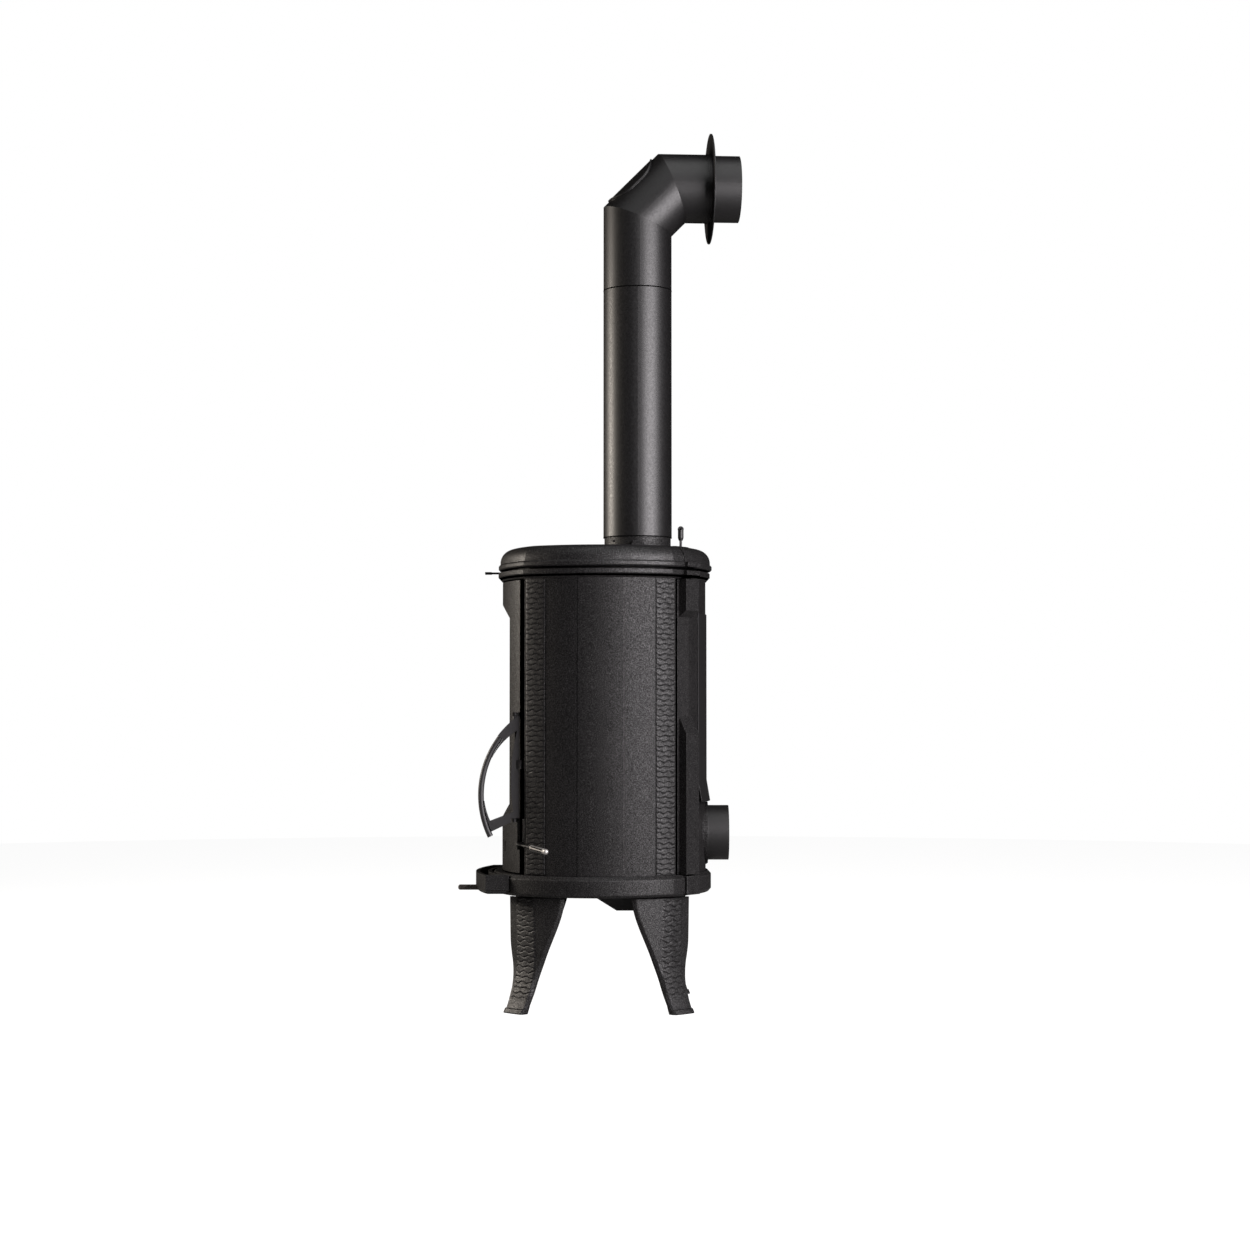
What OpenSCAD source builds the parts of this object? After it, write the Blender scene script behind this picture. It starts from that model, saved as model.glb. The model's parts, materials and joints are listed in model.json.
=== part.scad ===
// Cast-iron wood stove of oval plan on four splayed legs, with its flue pipe and wall elbow.
// Front (the door) faces -Y, the handle side is +X, and the floor under the stove is z = 0.

/* [Body plan] */
// Half width of the body across its side panels
body_half_w = 250; // [235:1:262]
// Radius of the curved side panels
side_r = 275; // [268:1:300]
// Radius of the curved door and front frame
front_r = 338; // [325:1:360]
// Distance from the middle of the body to the face of the door
front_reach = 227; // [224:1:234]
// Radius of the curved rear panel
rear_r = 284; // [278:1:296]
// Distance from the middle of the body to the back of the rear panel
rear_reach = 239; // [235:1:244]
// Thickness of the cast body panels
panel_t = 10; // [7:0.5:11]
// Distance from the middle of the body to the side panels' rear ends
side_half_l = 166; // [162:1:169]
// Distance from the middle of the body to the side panels' front ends
side_front_l = 169; // [164:1:170]
// Overhang of the base and the top past the body
overhang = 12; // [9:1:15]

/* [Heights] */
// Height of the legs
leg_h = 259; // [240:1:290]
// Depth of the base plate
base_h = 46; // [42:1:52]
// Height of the body panels
panel_h = 659; // [600:1:720]
// Height of the upper ring
ring_h = 19; // [16:1:24]
// Height of the shadow gap under the top plate
shadow_gap = 6; // [5:0.5:7]
// Height of the top plate's flange
flange_h = 13; // [10:1:16]
// Height of the top plate's dome above the flange
dome_h = 35; // [30:1:40]
// Height of the flue collar
collar_h = 29; // [22:1:34]
// Length of the straight pipe up to the elbow
pipe_l = 574; // [400:1:900]

/* [Flue] */
// Outside diameter of the flue pipe
flue_d = 157.5; // [140:0.5:160]
// Wall of the flue pipe
flue_wall = 2; // [1.5:0.5:3]
// Distance of the flue behind the middle of the body
flue_back = 83; // [70:0.5:90]
// Length of the elbow's upright leg
elbow_leg = 160; // [140:1:220]
// Rise of the slanted middle segment, from mitre to mitre
elbow_step = 79; // [66:1:90]
// Turn of the elbow about the pipe, away from the handle side
elbow_turn = 4; // [0:1:10]
// Outside diameter of the male wall end
wall_end_d = 153; // [136:0.5:153]
// Distance of the wall end behind the middle of the body
wall_reach = 323; // [310:1:360]
// Diameter of the wall rosette
rosette_d = 253; // [220:1:300]

/* [Door] */
// Half width of the door
door_half_w = 172; // [168:1:174]
// Thickness of the door casting
door_t = 14; // [12:1:15]
// Depth of the flat window bay behind the door's curve
bay_depth = 21; // [18:1:24]
// Half width of the window opening
window_half_w = 98; // [85:1:102]
// Height of the window opening
window_h = 382; // [330:1:386]
// Thickness of the window glass
glass_t = 4; // [3:0.5:5]
// Thickness of the bow handle's grip
grip_d = 13; // [10:1:16]
// Radius of the bow handle's outer curve
bow_r = 218; // [210:1:226]

/* [Details] */
// Outside diameter of the rear air inlet
inlet_d = 125; // [100:5:125]
// Height of the rear air inlet's centre above the base
inlet_rise = 85; // [80:1:95]
// Width of the ribs on the rear corners
rib_w = 45; // [36:1:50]
// How far the rib blocks stand out
rib_out = 21; // [14:1:24]
// Reach of the damper rod's tip in front of the middle of the body
rod_reach = 323; // [315:1:340]
// Diameter of the front air rod
rod_d = 12; // [8:1:12]
// Number of bars in the fire grate
grate_bars = 9; // [5:1:9]

/* [Hidden] */
$fn = 96;
// Gap between castings that only lie beside each other
gap = 0.3;
// Radial clearance of turning and sliding fits
fit = 0.08;
// A cutting tool's run past the face that it cuts
over = 1;

// Centres of the four arcs that bound the oval plan
side_c = body_half_w - side_r;
front_c = front_r - front_reach;
rear_c = rear_reach - rear_r;
base_z = leg_h + base_h;
panel_z = base_z + panel_h;
ring_z = panel_z + ring_h;
plate_z = ring_z + shadow_gap;
flange_z = plate_z + flange_h;
top_z = flange_z + dome_h;
collar_z = top_z + collar_h;
joint_z = collar_z + pipe_l;
mitre_z = joint_z + elbow_leg;
flue_r = flue_d / 2;
flue_bore = flue_r - flue_wall;
inlet_r = inlet_d / 2;
inlet_z = base_z + inlet_rise;

// Cast iron, painted steel and bright steel as the stove shows them
iron = [0.17, 0.17, 0.17];
iron_dark = [0.11, 0.11, 0.11];
paint = [0.14, 0.14, 0.14];
steel = [0.72, 0.72, 0.70];

// ---- shapes that several pieces share ----

// The oval plan, grown outwards by g; its front arc can stand further forward
module oval(g = 0, front_out = 0) {
    intersection() {
        translate([side_c, 0]) circle(side_r + g);
        translate([-side_c, 0]) circle(side_r + g);
        translate([0, front_c - front_out]) circle(front_r + g);
        translate([0, rear_c]) circle(rear_r + g);
    }
}

// A slab of the oval plan from z0 to z1
module oval_slab(z0, z1, g = 0, front_out = 0) {
    translate([0, 0, z0]) linear_extrude(z1 - z0) oval(g, front_out);
}

// A slab whose rim slopes from growth g0 at z0 to g1 at z1
module oval_bevel(z0, z1, g0, g1, front_out = 0) {
    intersection() {
        translate([side_c, 0, z0]) cylinder(h = z1 - z0, r1 = side_r + g0, r2 = side_r + g1);
        translate([-side_c, 0, z0]) cylinder(h = z1 - z0, r1 = side_r + g0, r2 = side_r + g1);
        translate([0, front_c - front_out, z0])
            cylinder(h = z1 - z0, r1 = front_r + g0, r2 = front_r + g1);
        translate([0, rear_c, z0]) cylinder(h = z1 - z0, r1 = rear_r + g0, r2 = rear_r + g1);
    }
}

// A revolved disc with a rounded shoulder
module round_disc(r, h, shoulder) {
    rotate_extrude() {
        square([r - shoulder, h]);
        square([r, h - shoulder]);
        translate([r - shoulder, h - shoulder]) intersection() {
            circle(shoulder);
            square(shoulder);
        }
    }
}

// The oval dome of the top plate
module oval_dome(z0, z1, g, shoulder) {
    intersection() {
        translate([side_c, 0, z0]) round_disc(side_r + g, z1 - z0, shoulder);
        translate([-side_c, 0, z0]) round_disc(side_r + g, z1 - z0, shoulder);
        translate([0, front_c, z0]) round_disc(front_r + g, z1 - z0, shoulder);
        translate([0, rear_c, z0]) round_disc(rear_r + g, z1 - z0, shoulder);
    }
}

// Part of an upright tube wall about a centre on the y axis
module shell(cy, r_out, r_in, z0, z1) {
    translate([0, cy, z0]) difference() {
        cylinder(h = z1 - z0, r = r_out);
        translate([0, 0, -over]) cylinder(h = z1 - z0 + 2 * over, r = r_in);
    }
}

// A box from one corner to the opposite one
module block(from, to) {
    translate(from) cube(to - from);
}

module both_sides() {
    children();
    mirror([1, 0, 0]) children();
}

// A hexagon-head bolt or nut standing on z = 0
module hex_head(across, h) {
    cylinder(h = h, d = across / cos(30), $fn = 6);
}

// ---- rear corner ribs ----

rib_angle = 50;
facet_inset = 1.6;
// Where a side arc meets the rear arc: x = corner_a + corner_b * y on the line through both points
corner_a = (side_c * side_c - rear_c * rear_c - side_r * side_r + rear_r * rear_r) / (2 * side_c);
corner_b = rear_c / side_c;
corner_m = (corner_a - side_c) * corner_b;
corner_n = 1 + corner_b * corner_b;
corner_y = (sqrt(corner_m * corner_m - corner_n * (pow(corner_a - side_c, 2) - side_r * side_r))
            - corner_m) / corner_n;
corner_x = corner_a + corner_b * corner_y;
facet_r = corner_x * cos(rib_angle) + corner_y * sin(rib_angle) - facet_inset;
rib_face_r = facet_r + rib_out;
upper_rib_z = panel_z - 71;
lower_rib_z = base_z + 313;

// A bar on the rear corner, from radius r0 to r1
module rib_bar(r0, r1, z0, z1, w = rib_w) {
    rotate([0, 0, rib_angle]) block([r0, -w / 2, z0], [r1, w / 2, z1]);
}

// A bar on the rear corner whose side outline is drawn as radius and height
module rib_profile(points, w = rib_w) {
    rotate([0, 0, rib_angle]) translate([0, w / 2, 0]) rotate([90, 0, 0])
        linear_extrude(w) polygon(points);
}

// ---- base ----

base_rim = 10;
base_top_t = 10;
base_front_out = 11;
base_under_z = base_z - base_top_t;
rod_x = 80;
rod_z = leg_h + rod_d / 2 + 5.6;
rod_r = rod_d / 2;
tie_x = body_half_w - 54;
tie_y = 118;
tie_d = 8;
tie_hole = tie_d / 2 + gap;
plenum_y = 178;
leg_bolt_d = 8;
leg_pad_t = 8;
leg_angle = 43;
leg_inset = 14.2;
// Distance from the origin to a side arc at angle a
function side_reach(a) = side_c * cos(a) + sqrt(side_r * side_r - pow(side_c * sin(a), 2));
leg_top_r = side_reach(leg_angle) - leg_inset;
leg_pad_r = leg_top_r - 28;

module at_tie_rods() {
    for (sx = [-1, 1], sy = [-1, 1]) translate([sx * tie_x, sy * tie_y, 0]) children();
}

// Each leg stands at the same angle to the side, front and rear
module at_legs() {
    for (a = [leg_angle, 180 - leg_angle, 180 + leg_angle, -leg_angle]) rotate([0, 0, a]) children();
}

module base_plate() {
    rim_bevel = 6;
    top_bevel = 8;
    bore_h = base_top_t + 2 * over;
    color(iron) difference() {
        union() {
            oval_bevel(leg_h, leg_h + rim_bevel, overhang - 5, overhang, base_front_out);
            oval_slab(leg_h + rim_bevel, base_z - top_bevel, overhang, base_front_out);
            oval_bevel(base_z - top_bevel, base_z, overhang, overhang - 7, base_front_out);
            both_sides() rib_bar(rib_face_r - 60, rib_face_r + 2, leg_h + 2, base_z - 2);
        }
        oval_slab(leg_h - over, base_under_z, overhang - base_rim, base_front_out);
        // air from the rear inlet's plenum, and from the damper up to the fire
        block([-70, plenum_y - 6, base_under_z - over], [70, plenum_y + 6, base_z + over]);
        for (x = port_xs)
            block([x, port_y, base_under_z - over], [x + port_l, port_y + port_l, base_z + over]);
        at_tie_rods() translate([0, 0, base_under_z - over]) cylinder(h = bore_h, r = tie_hole);
        at_legs() translate([leg_pad_r, 0, base_under_z - over])
            cylinder(h = bore_h, r = leg_bolt_d / 2 + gap);
        translate([rod_x, 0, rod_z]) rotate([90, 0, 0]) cylinder(h = 2 * front_reach, r = rod_r + gap);
    }
}

// The ash lip: a shallow dish in front of the door
lip_half_w = body_half_w - 75;
lip_reach = 287;
lip_side_y = -256;
lip_wall = 9;
lip_z = leg_h + 3;
lip_top = base_z - 1;
lip_floor = rod_z + rod_r + 5;

module lip_plan(inset = 0) {
    sagitta = lip_reach + lip_side_y;
    r = (lip_half_w * lip_half_w + sagitta * sagitta) / (2 * sagitta);
    intersection() {
        translate([0, r - lip_reach]) circle(r - inset);
        translate([inset - lip_half_w, -lip_reach]) square([2 * (lip_half_w - inset), 150]);
    }
}

module ash_lip() {
    color(iron) difference() {
        union() {
            translate([0, 0, lip_z + 8]) linear_extrude(lip_top - lip_z - 8) lip_plan();
            translate([0, 0, lip_z + 3]) linear_extrude(5) lip_plan(2);
            translate([0, 0, lip_z]) linear_extrude(3) lip_plan(6);
        }
        oval_slab(lip_z - over, base_z + over, overhang + gap, base_front_out);
        translate([0, 0, lip_floor]) linear_extrude(base_h) difference() {
            lip_plan(lip_wall);
            oval(overhang + lip_wall, base_front_out);
        }
        translate([rod_x, 0, rod_z]) rotate([90, 0, 0]) cylinder(h = 400, r = rod_r + gap);
    }
}

// ---- legs ----

leg_t = 9;
leg_steps = 12;
foot_z = 8;
knee_z = 115;

// Outer radius of the leg at height z: upright above the knee, sweeping out to the foot
function leg_r(z) =
    leg_top_r + 3 * max(0, (z - knee_z) / (leg_h - knee_z)) + 36 * pow(max(0, 1 - z / knee_z), 1.7);
// Distance of the leg's two edges from its centre line
function leg_outer_edge(z) = 38 + 12 * pow(min(1, max(0, z - 40) / 140), 0.7);
function leg_inner_edge(z) = -(29 + 70 * pow(max(0, z - 45) / (leg_h - 45), 1.5));
function leg_height(i) = leg_h * i / leg_steps;

module leg_plan_band() {
    // from the turned-out toe up the outside, and down the inside to the sole
    rotate_extrude(angle = 70) polygon([
        [leg_r(0) - leg_t - 6, 0], [leg_r(0) + 6, 0], [leg_r(0) + 7, foot_z],
        for (i = [1:leg_steps]) [leg_r(leg_height(i)), leg_height(i)],
        [leg_r(leg_h), base_under_z - gap],
        [leg_r(leg_h) - leg_t, base_under_z - gap],
        for (i = [leg_steps:-1:1]) [leg_r(leg_height(i)) - leg_t, leg_height(i)],
    ]);
}

module leg() {
    pad_z = base_under_z - gap;
    color(iron) difference() {
        union() {
            intersection() {
                rotate([0, 0, -35]) leg_plan_band();
                rotate([90, 0, 90]) linear_extrude(400) polygon([
                    [leg_outer_edge(0), -over],
                    for (i = [0:leg_steps - 1]) [leg_outer_edge(leg_height(i + 0.4)), leg_height(i + 0.4)],
                    [leg_outer_edge(leg_h) - 4, pad_z + over],
                    [leg_inner_edge(leg_h) + 20, pad_z + over],
                    for (i = [leg_steps - 1:-1:0]) [leg_inner_edge(leg_height(i + 0.4)), leg_height(i + 0.4)],
                    [leg_inner_edge(0), -over],
                ]);
            }
            block([leg_pad_r - 20, -25, pad_z - leg_pad_t], [leg_r(leg_h) - leg_t + 4, 25, pad_z]);
        }
        translate([leg_pad_r, 0, pad_z - leg_pad_t - over])
            cylinder(h = leg_pad_t + 2 * over, r = leg_bolt_d / 2 + gap);
    }
}

// The front right leg is the pattern; the others are its mirror images
module leg_front_right() { rotate([0, 0, -leg_angle]) mirror([0, 1, 0]) leg(); }
module leg_front_left() { mirror([1, 0, 0]) leg_front_right(); }
module leg_rear_right() { mirror([0, 1, 0]) leg_front_right(); }
module leg_rear_left() { mirror([1, 0, 0]) leg_rear_right(); }

module leg_bolts() {
    head_h = 5;
    leg_nut_across = 12;
    pad_under = base_under_z - gap - leg_pad_t;
    color(steel) at_legs() translate([leg_pad_r, 0, 0]) {
        translate([0, 0, pad_under - head_h]) hex_head(leg_nut_across, head_h);
        translate([0, 0, pad_under]) cylinder(h = base_z - pad_under, d = leg_bolt_d);
        translate([0, 0, base_z]) hex_head(leg_nut_across, 6);
    }
}

// The air box under the base, drawn as its side outline
air_box_half_w = 110;
air_box_wall = 3;
air_box_front = -28;
air_box_slope_y = 35;
air_box_rear = 192;
air_box_drop = 39;

module air_box_outline(inset, top) {
    bottom = leg_h - air_box_drop + inset;
    polygon([
        [air_box_front + inset, top], [air_box_front + inset, leg_h],
        [air_box_slope_y + inset / 2, bottom], [air_box_rear - 44 - inset / 2, bottom],
        [air_box_rear - inset, leg_h], [air_box_rear - inset, top],
    ]);
}

module air_box() {
    color(iron_dark) difference() {
        translate([-air_box_half_w, 0, 0]) rotate([90, 0, 90])
            linear_extrude(2 * air_box_half_w) air_box_outline(0, base_under_z - gap);
        translate([air_box_wall - air_box_half_w, 0, 0]) rotate([90, 0, 90])
            linear_extrude(2 * (air_box_half_w - air_box_wall))
                air_box_outline(air_box_wall, base_z);
        translate([rod_x, 0, rod_z]) rotate([90, 0, 0]) cylinder(h = 100, r = rod_r + gap);
    }
}

// The damper plate under the base's two ports, on its long front rod
damper_travel = 35;
port_y = 60;
port_l = 30;
port_xs = [-50, 10];

module air_damper() {
    plate_t = 3;
    plate_top = base_under_z - 2 * gap;
    margin = 12;
    color(iron_dark) difference() {
        union() {
            block([-70, port_y - margin, plate_top - plate_t],
                  [rod_x + 6, port_y + port_l + damper_travel + margin, plate_top]);
            block([rod_x - 3, port_y, rod_z], [rod_x + 3, port_y + port_l, plate_top - 1]);
            translate([rod_x, port_y + port_l, rod_z]) rotate([90, 0, 0])
                cylinder(h = port_y + port_l + rod_reach - 3, r = rod_r);
            translate([rod_x, 3 - rod_reach, rod_z]) rotate([90, 0, 0])
                cylinder(h = 3, r1 = rod_r, r2 = rod_r - 3);
        }
        for (x = port_xs)
            block([x, port_y + damper_travel, plate_top - 10],
                  [x + port_l, port_y + damper_travel + port_l, plate_top + over]);
    }
}

// ---- body ----

seam = 4.5;
lap_t = 6;
lap_l = 14;
lap_end = 2;
side_grooves = [-122, -51.5, 51.5, 122];
groove_w = 1.8;
groove_depth = 1.2;
seal_space = 4;
frame_t = 12;
frame_r = front_r - door_t - seal_space;
frame_open_half_w = 138;
frame_open_z0 = base_z + 35;
frame_open_z1 = panel_z - 34;

module side_panel() {
    color(iron) difference() {
        intersection() {
            translate([side_c, 0, base_z]) cylinder(h = panel_h, r = side_r);
            block([0, -side_front_l, base_z], [body_half_w + over, side_half_l, panel_z]);
        }
        translate([side_c, 0, base_z - over]) cylinder(h = panel_h + 2 * over, r = side_r - panel_t);
        for (y = side_grooves) translate([side_c, 0, 0]) rotate([0, 0, asin(y / side_r)])
            block([side_r - groove_depth, -groove_w / 2, base_z - over],
                  [side_r + over, groove_w / 2, panel_z + over]);
    }
}

module side_panel_right() { side_panel(); }
module side_panel_left() { mirror([1, 0, 0]) side_panel(); }

// A thin strip behind the seam between a side panel and its neighbour, set in by depth
module lap_strip(y0, y1, depth = panel_t + gap) {
    intersection() {
        difference() {
            oval_slab(base_z + lap_end, panel_z - lap_end, -depth);
            oval_slab(base_z, panel_z, -panel_t - lap_t);
        }
        block([-body_half_w, y0, base_z], [body_half_w, y1, panel_z]);
    }
}

// ---- door hinge and latch places ----

hinge_x = -183;
hinge_y = -184;
knuckle_r = 7.5;
hinge_pin_r = 4;
lug_h = 20;
hinge_zs = [base_z + 62, panel_z - 92];
latch_z = base_z + 235;
catch_x = 173.6;

module front_frame() {
    color(iron) difference() {
        union() {
            intersection() {
                shell(front_c, frame_r, frame_r - frame_t, base_z, panel_z);
                oval_slab(base_z, panel_z, -panel_t - gap);
                block([-body_half_w, -front_reach, base_z], [body_half_w, -60, panel_z]);
            }
            for (z = hinge_zs) {
                translate([hinge_x, hinge_y, z]) cylinder(h = lug_h, r = knuckle_r);
                block([hinge_x + 4.5, hinge_y + 3, z], [hinge_x + 9, hinge_y + 34, z + lug_h]);
            }
        }
        block([-frame_open_half_w, -front_reach, frame_open_z0], [frame_open_half_w, 0, frame_open_z1]);
        for (z = hinge_zs) translate([hinge_x, hinge_y, z - over])
            cylinder(h = lug_h + 2 * over, r = hinge_pin_r + fit);
    }
}

module hinge_pins() {
    color(steel) for (z = hinge_zs) translate([hinge_x, hinge_y, z])
        cylinder(h = 2 * lug_h + gap, r = hinge_pin_r);
}

module door_catch() {
    color(iron_dark) block([catch_x, -171.5, latch_z], [catch_x + 5, -165.5, latch_z + 20]);
}

inlet_flange_r = inlet_r + 8;
inlet_seat_y = rear_reach + 2;

module inlet_axis(y0, y1, r) {
    translate([0, y1, inlet_z]) rotate([90, 0, 0]) cylinder(h = y1 - y0, r = r);
}

// The rear panel's laps behind the side panels' rear ends
module rear_laps() {
    seam_y = side_half_l + seam;
    lap_strip(seam_y - lap_l, seam_y + lap_l);
    lap_strip(seam_y, seam_y + lap_l, panel_t - 1);
}

module rear_panel() {
    upper_slope = 15;
    lower_slope = 39;
    root = facet_r - 3;
    rib_end = 1;
    color(iron) difference() {
        union() {
            difference() {
                union() {
                    intersection() {
                        oval_slab(base_z, panel_z);
                        rib_bar(-2 * body_half_w, facet_r, base_z, panel_z, 4 * body_half_w);
                        mirror([1, 0, 0])
                            rib_bar(-2 * body_half_w, facet_r, base_z, panel_z, 4 * body_half_w);
                        block([-body_half_w, side_half_l + seam, base_z],
                              [body_half_w, 2 * rear_reach, panel_z]);
                    }
                    both_sides() {
                        rib_profile([
                            [root, upper_rib_z - upper_slope], [facet_r, upper_rib_z - upper_slope],
                            [rib_face_r, upper_rib_z], [rib_face_r, panel_z - rib_end],
                            [root, panel_z - rib_end],
                        ]);
                        rib_profile([
                            [root, base_z + rib_end], [rib_face_r, base_z + rib_end],
                            [rib_face_r, lower_rib_z], [facet_r, lower_rib_z + lower_slope],
                            [root, lower_rib_z + lower_slope],
                        ]);
                    }
                    inlet_axis(rear_reach - 30, inlet_seat_y, inlet_flange_r + 2);
                }
                oval_slab(base_z - over, panel_z + over, -panel_t);
            }
            rear_laps();
        }
        inlet_axis(0, inlet_seat_y + over, inlet_r + gap);
    }
}

// A bent sheet that stands off the rear panel, with a flared lower lip
shield_t = 1.5;
shield_half_w = 110;

module rear_heat_shield() {
    lip_z0 = base_z + 159;
    lip_h = 48;
    flare = 8;
    top = panel_z - 75;
    shield_r = rear_r + 2.5;
    color(paint) {
        intersection() {
            shell(rear_c, shield_r, shield_r - shield_t, lip_z0 + lip_h, top);
            block([-shield_half_w, 0, base_z], [shield_half_w, 2 * rear_reach, panel_z]);
        }
        intersection() {
            translate([0, rear_c, lip_z0]) difference() {
                cylinder(h = lip_h, r1 = shield_r + flare, r2 = shield_r);
                translate([0, 0, -over]) cylinder(h = lip_h + 2 * over,
                    r1 = shield_r + flare * (1 + over / lip_h) - shield_t,
                    r2 = shield_r - flare * over / lip_h - shield_t);
            }
            block([-shield_half_w, 0, base_z], [shield_half_w, 2 * rear_reach, panel_z]);
        }
        // spacers between the sheet and the panel
        for (a = [-14, 14], z = [top - 25, lip_z0 + lip_h + 25]) translate([0, rear_c, z])
            rotate([0, 0, a]) translate([0, rear_r + gap, 0]) rotate([-90, 0, 0])
                cylinder(h = shield_r - rear_r - shield_t, r = 8);
    }
}

inlet_l = 50;

module air_inlet() {
    wall = 2;
    flange_t = 2.5;
    color(paint) difference() {
        union() {
            inlet_axis(inlet_seat_y - 10, inlet_seat_y + inlet_l, inlet_r);
            inlet_axis(inlet_seat_y, inlet_seat_y + flange_t, inlet_flange_r);
        }
        inlet_axis(inlet_seat_y - 10 - over, inlet_seat_y + inlet_l + over, inlet_r - wall);
    }
}

// ---- top ----

ring_open = -42;
upstand_out = -9;
upstand_in = -16;
wash_half_w = 80;
wash_port_xs = [-60, -36, -12, 12, 36, 60];
wash_r = front_r - 36;
plate_back = 2.5;
pull_y = 182.5;
pull_d = 6;
damper_hinge_y = 158;
damper_hinge_z = plate_z + 26;
ear_w = 8;
ear_r = 9;
ear_xs = [-92, 92 - ear_w];
shaft_r = 4;

module top_ring() {
    cavetto = 10;
    color(iron) difference() {
        union() {
            oval_bevel(panel_z, panel_z + cavetto, 1, overhang - 2);
            oval_slab(panel_z + cavetto, ring_z, overhang - 2);
            both_sides() rib_bar(rib_face_r - 40, rib_face_r + 3, panel_z + 4, ring_z - 1.5);
            difference() {
                oval_slab(panel_z, plate_z, upstand_out);
                oval_slab(ring_z - over, plate_z + over, upstand_in);
                block([-wash_half_w, -2 * front_reach, ring_z], [wash_half_w, 0, plate_z + over]);
            }
        }
        oval_slab(panel_z - over, ring_z + over, ring_open);
        at_tie_rods() translate([0, 0, panel_z - over]) cylinder(h = ring_h + 2 * over, r = tie_hole);
        for (x = wash_port_xs) translate([x, front_c - sqrt(wash_r * wash_r - x * x), panel_z - over])
            cylinder(h = ring_h + 2 * over, d = 8);
    }
}

module top_plate() {
    plate_t = 8;
    shoulder = 30;
    inner_shoulder = 24;
    inset = 4;
    color(iron) difference() {
        union() {
            translate([0, plate_back, 0]) {
                oval_bevel(plate_z, plate_z + 3, overhang - 3, overhang);
                oval_slab(plate_z + 3, flange_z - 3, overhang);
                oval_bevel(flange_z - 3, flange_z, overhang, overhang - 3);
                oval_dome(flange_z - over, top_z, overhang - inset, shoulder);
                intersection() {
                    oval_dome(flange_z - over, top_z + 0.8, overhang - inset + 2.5, shoulder);
                    both_sides() rib_bar(rib_face_r - 70, rib_face_r, flange_z - over, top_z + 5);
                    oval_slab(flange_z - over, top_z + 5, overhang);
                    block([-rear_reach, 110, flange_z - over], [rear_reach, 2 * rear_reach, top_z + 5]);
                }
            }
            both_sides() rib_bar(rib_face_r - 40, rib_face_r + 5, plate_z + 1.5, flange_z - 1.5);
            // ears that carry the flue damper's shaft
            for (x = ear_xs) block([x, damper_hinge_y - ear_r, damper_hinge_z - ear_r],
                                   [x + ear_w, damper_hinge_y + ear_r, top_z - plate_t + over]);
        }
        difference() {
            oval_dome(plate_z - over, top_z - plate_t, upstand_in - 1, inner_shoulder);
            for (x = ear_xs) block([x, damper_hinge_y - ear_r, damper_hinge_z - ear_r],
                                   [x + ear_w, damper_hinge_y + ear_r, top_z]);
        }
        translate([0, flue_back, plate_z]) cylinder(h = 100, r = flue_bore - 9);
        translate([0, pull_y, plate_z]) cylinder(h = 100, r = pull_d / 2 + fit);
        translate([-100, damper_hinge_y, damper_hinge_z]) rotate([0, 90, 0])
            cylinder(h = 200, r = shaft_r + fit);
    }
}

module tie_rods() {
    color(steel) at_tie_rods() translate([0, 0, base_under_z - 9])
        cylinder(h = ring_z - base_under_z + 17, d = tie_d);
}

// Nuts whose bores are the rods' own threads
module tie_rod_nuts() {
    nut_h = 6.5;
    nut_across = 12;
    color(steel) at_tie_rods() for (z = [base_under_z - nut_h, ring_z]) translate([0, 0, z])
        difference() {
            hex_head(nut_across, nut_h);
            translate([0, 0, -over]) cylinder(h = nut_h + 2 * over, r = tie_d / 2 + fit);
        }
}

// ---- firebox ----

hearth_t = 12;
hearth_z = base_z + 110;
liner_t = 12;
liner_out = side_r - panel_t - 7;
// the side liners end short of the front frame's inner face
liner_front_gap = 11.5;
liner_corner_x = side_c + liner_out - 20;
liner_half_l = sqrt(pow(frame_r - frame_t, 2) - pow(liner_corner_x, 2)) - front_c - liner_front_gap;
liner_top = panel_z - 64;
liner_rear_y = 184;
liner_rear_half_w = 120;
baffle_t = 10;
baffle_half_w = tie_x - 21;
ash_half_w = 128;
skirt_t = 8;
grate_l = 210;
grate_w = 170;
grate_t = 7;
grate_y = 10;

module hearth_plan() {
    intersection() {
        oval(-panel_t - 7);
        translate([0, front_c]) circle(frame_r - frame_t - 1);
    }
}

module grate_frame() {
    under = hearth_z - hearth_t;
    color(iron_dark) difference() {
        union() {
            translate([0, 0, under]) linear_extrude(hearth_t) hearth_plan();
            both_sides() {
                block([ash_half_w, -150, base_z], [ash_half_w + skirt_t, 160, under + over]);
                block([ash_half_w - 16, -150, base_z + 31], [ash_half_w + over, 155, base_z + 37 - gap]);
            }
            block([-ash_half_w - skirt_t, 155, base_z + 4], [ash_half_w + skirt_t, 163, under + over]);
        }
        at_tie_rods() translate([0, 0, under - over]) cylinder(h = hearth_t + 2 * over, r = tie_hole);
        // the grate's opening and the step that it lies on
        block([10 - grate_l / 2, grate_y + 10 - grate_w / 2, under - over],
              [grate_l / 2 - 10, grate_y - 10 + grate_w / 2, hearth_z + over]);
        block([-grate_l / 2 - gap, grate_y - grate_w / 2 - gap, hearth_z - grate_t],
              [grate_l / 2 + gap, grate_y + grate_w / 2 + gap, hearth_z + over]);
    }
}

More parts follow.
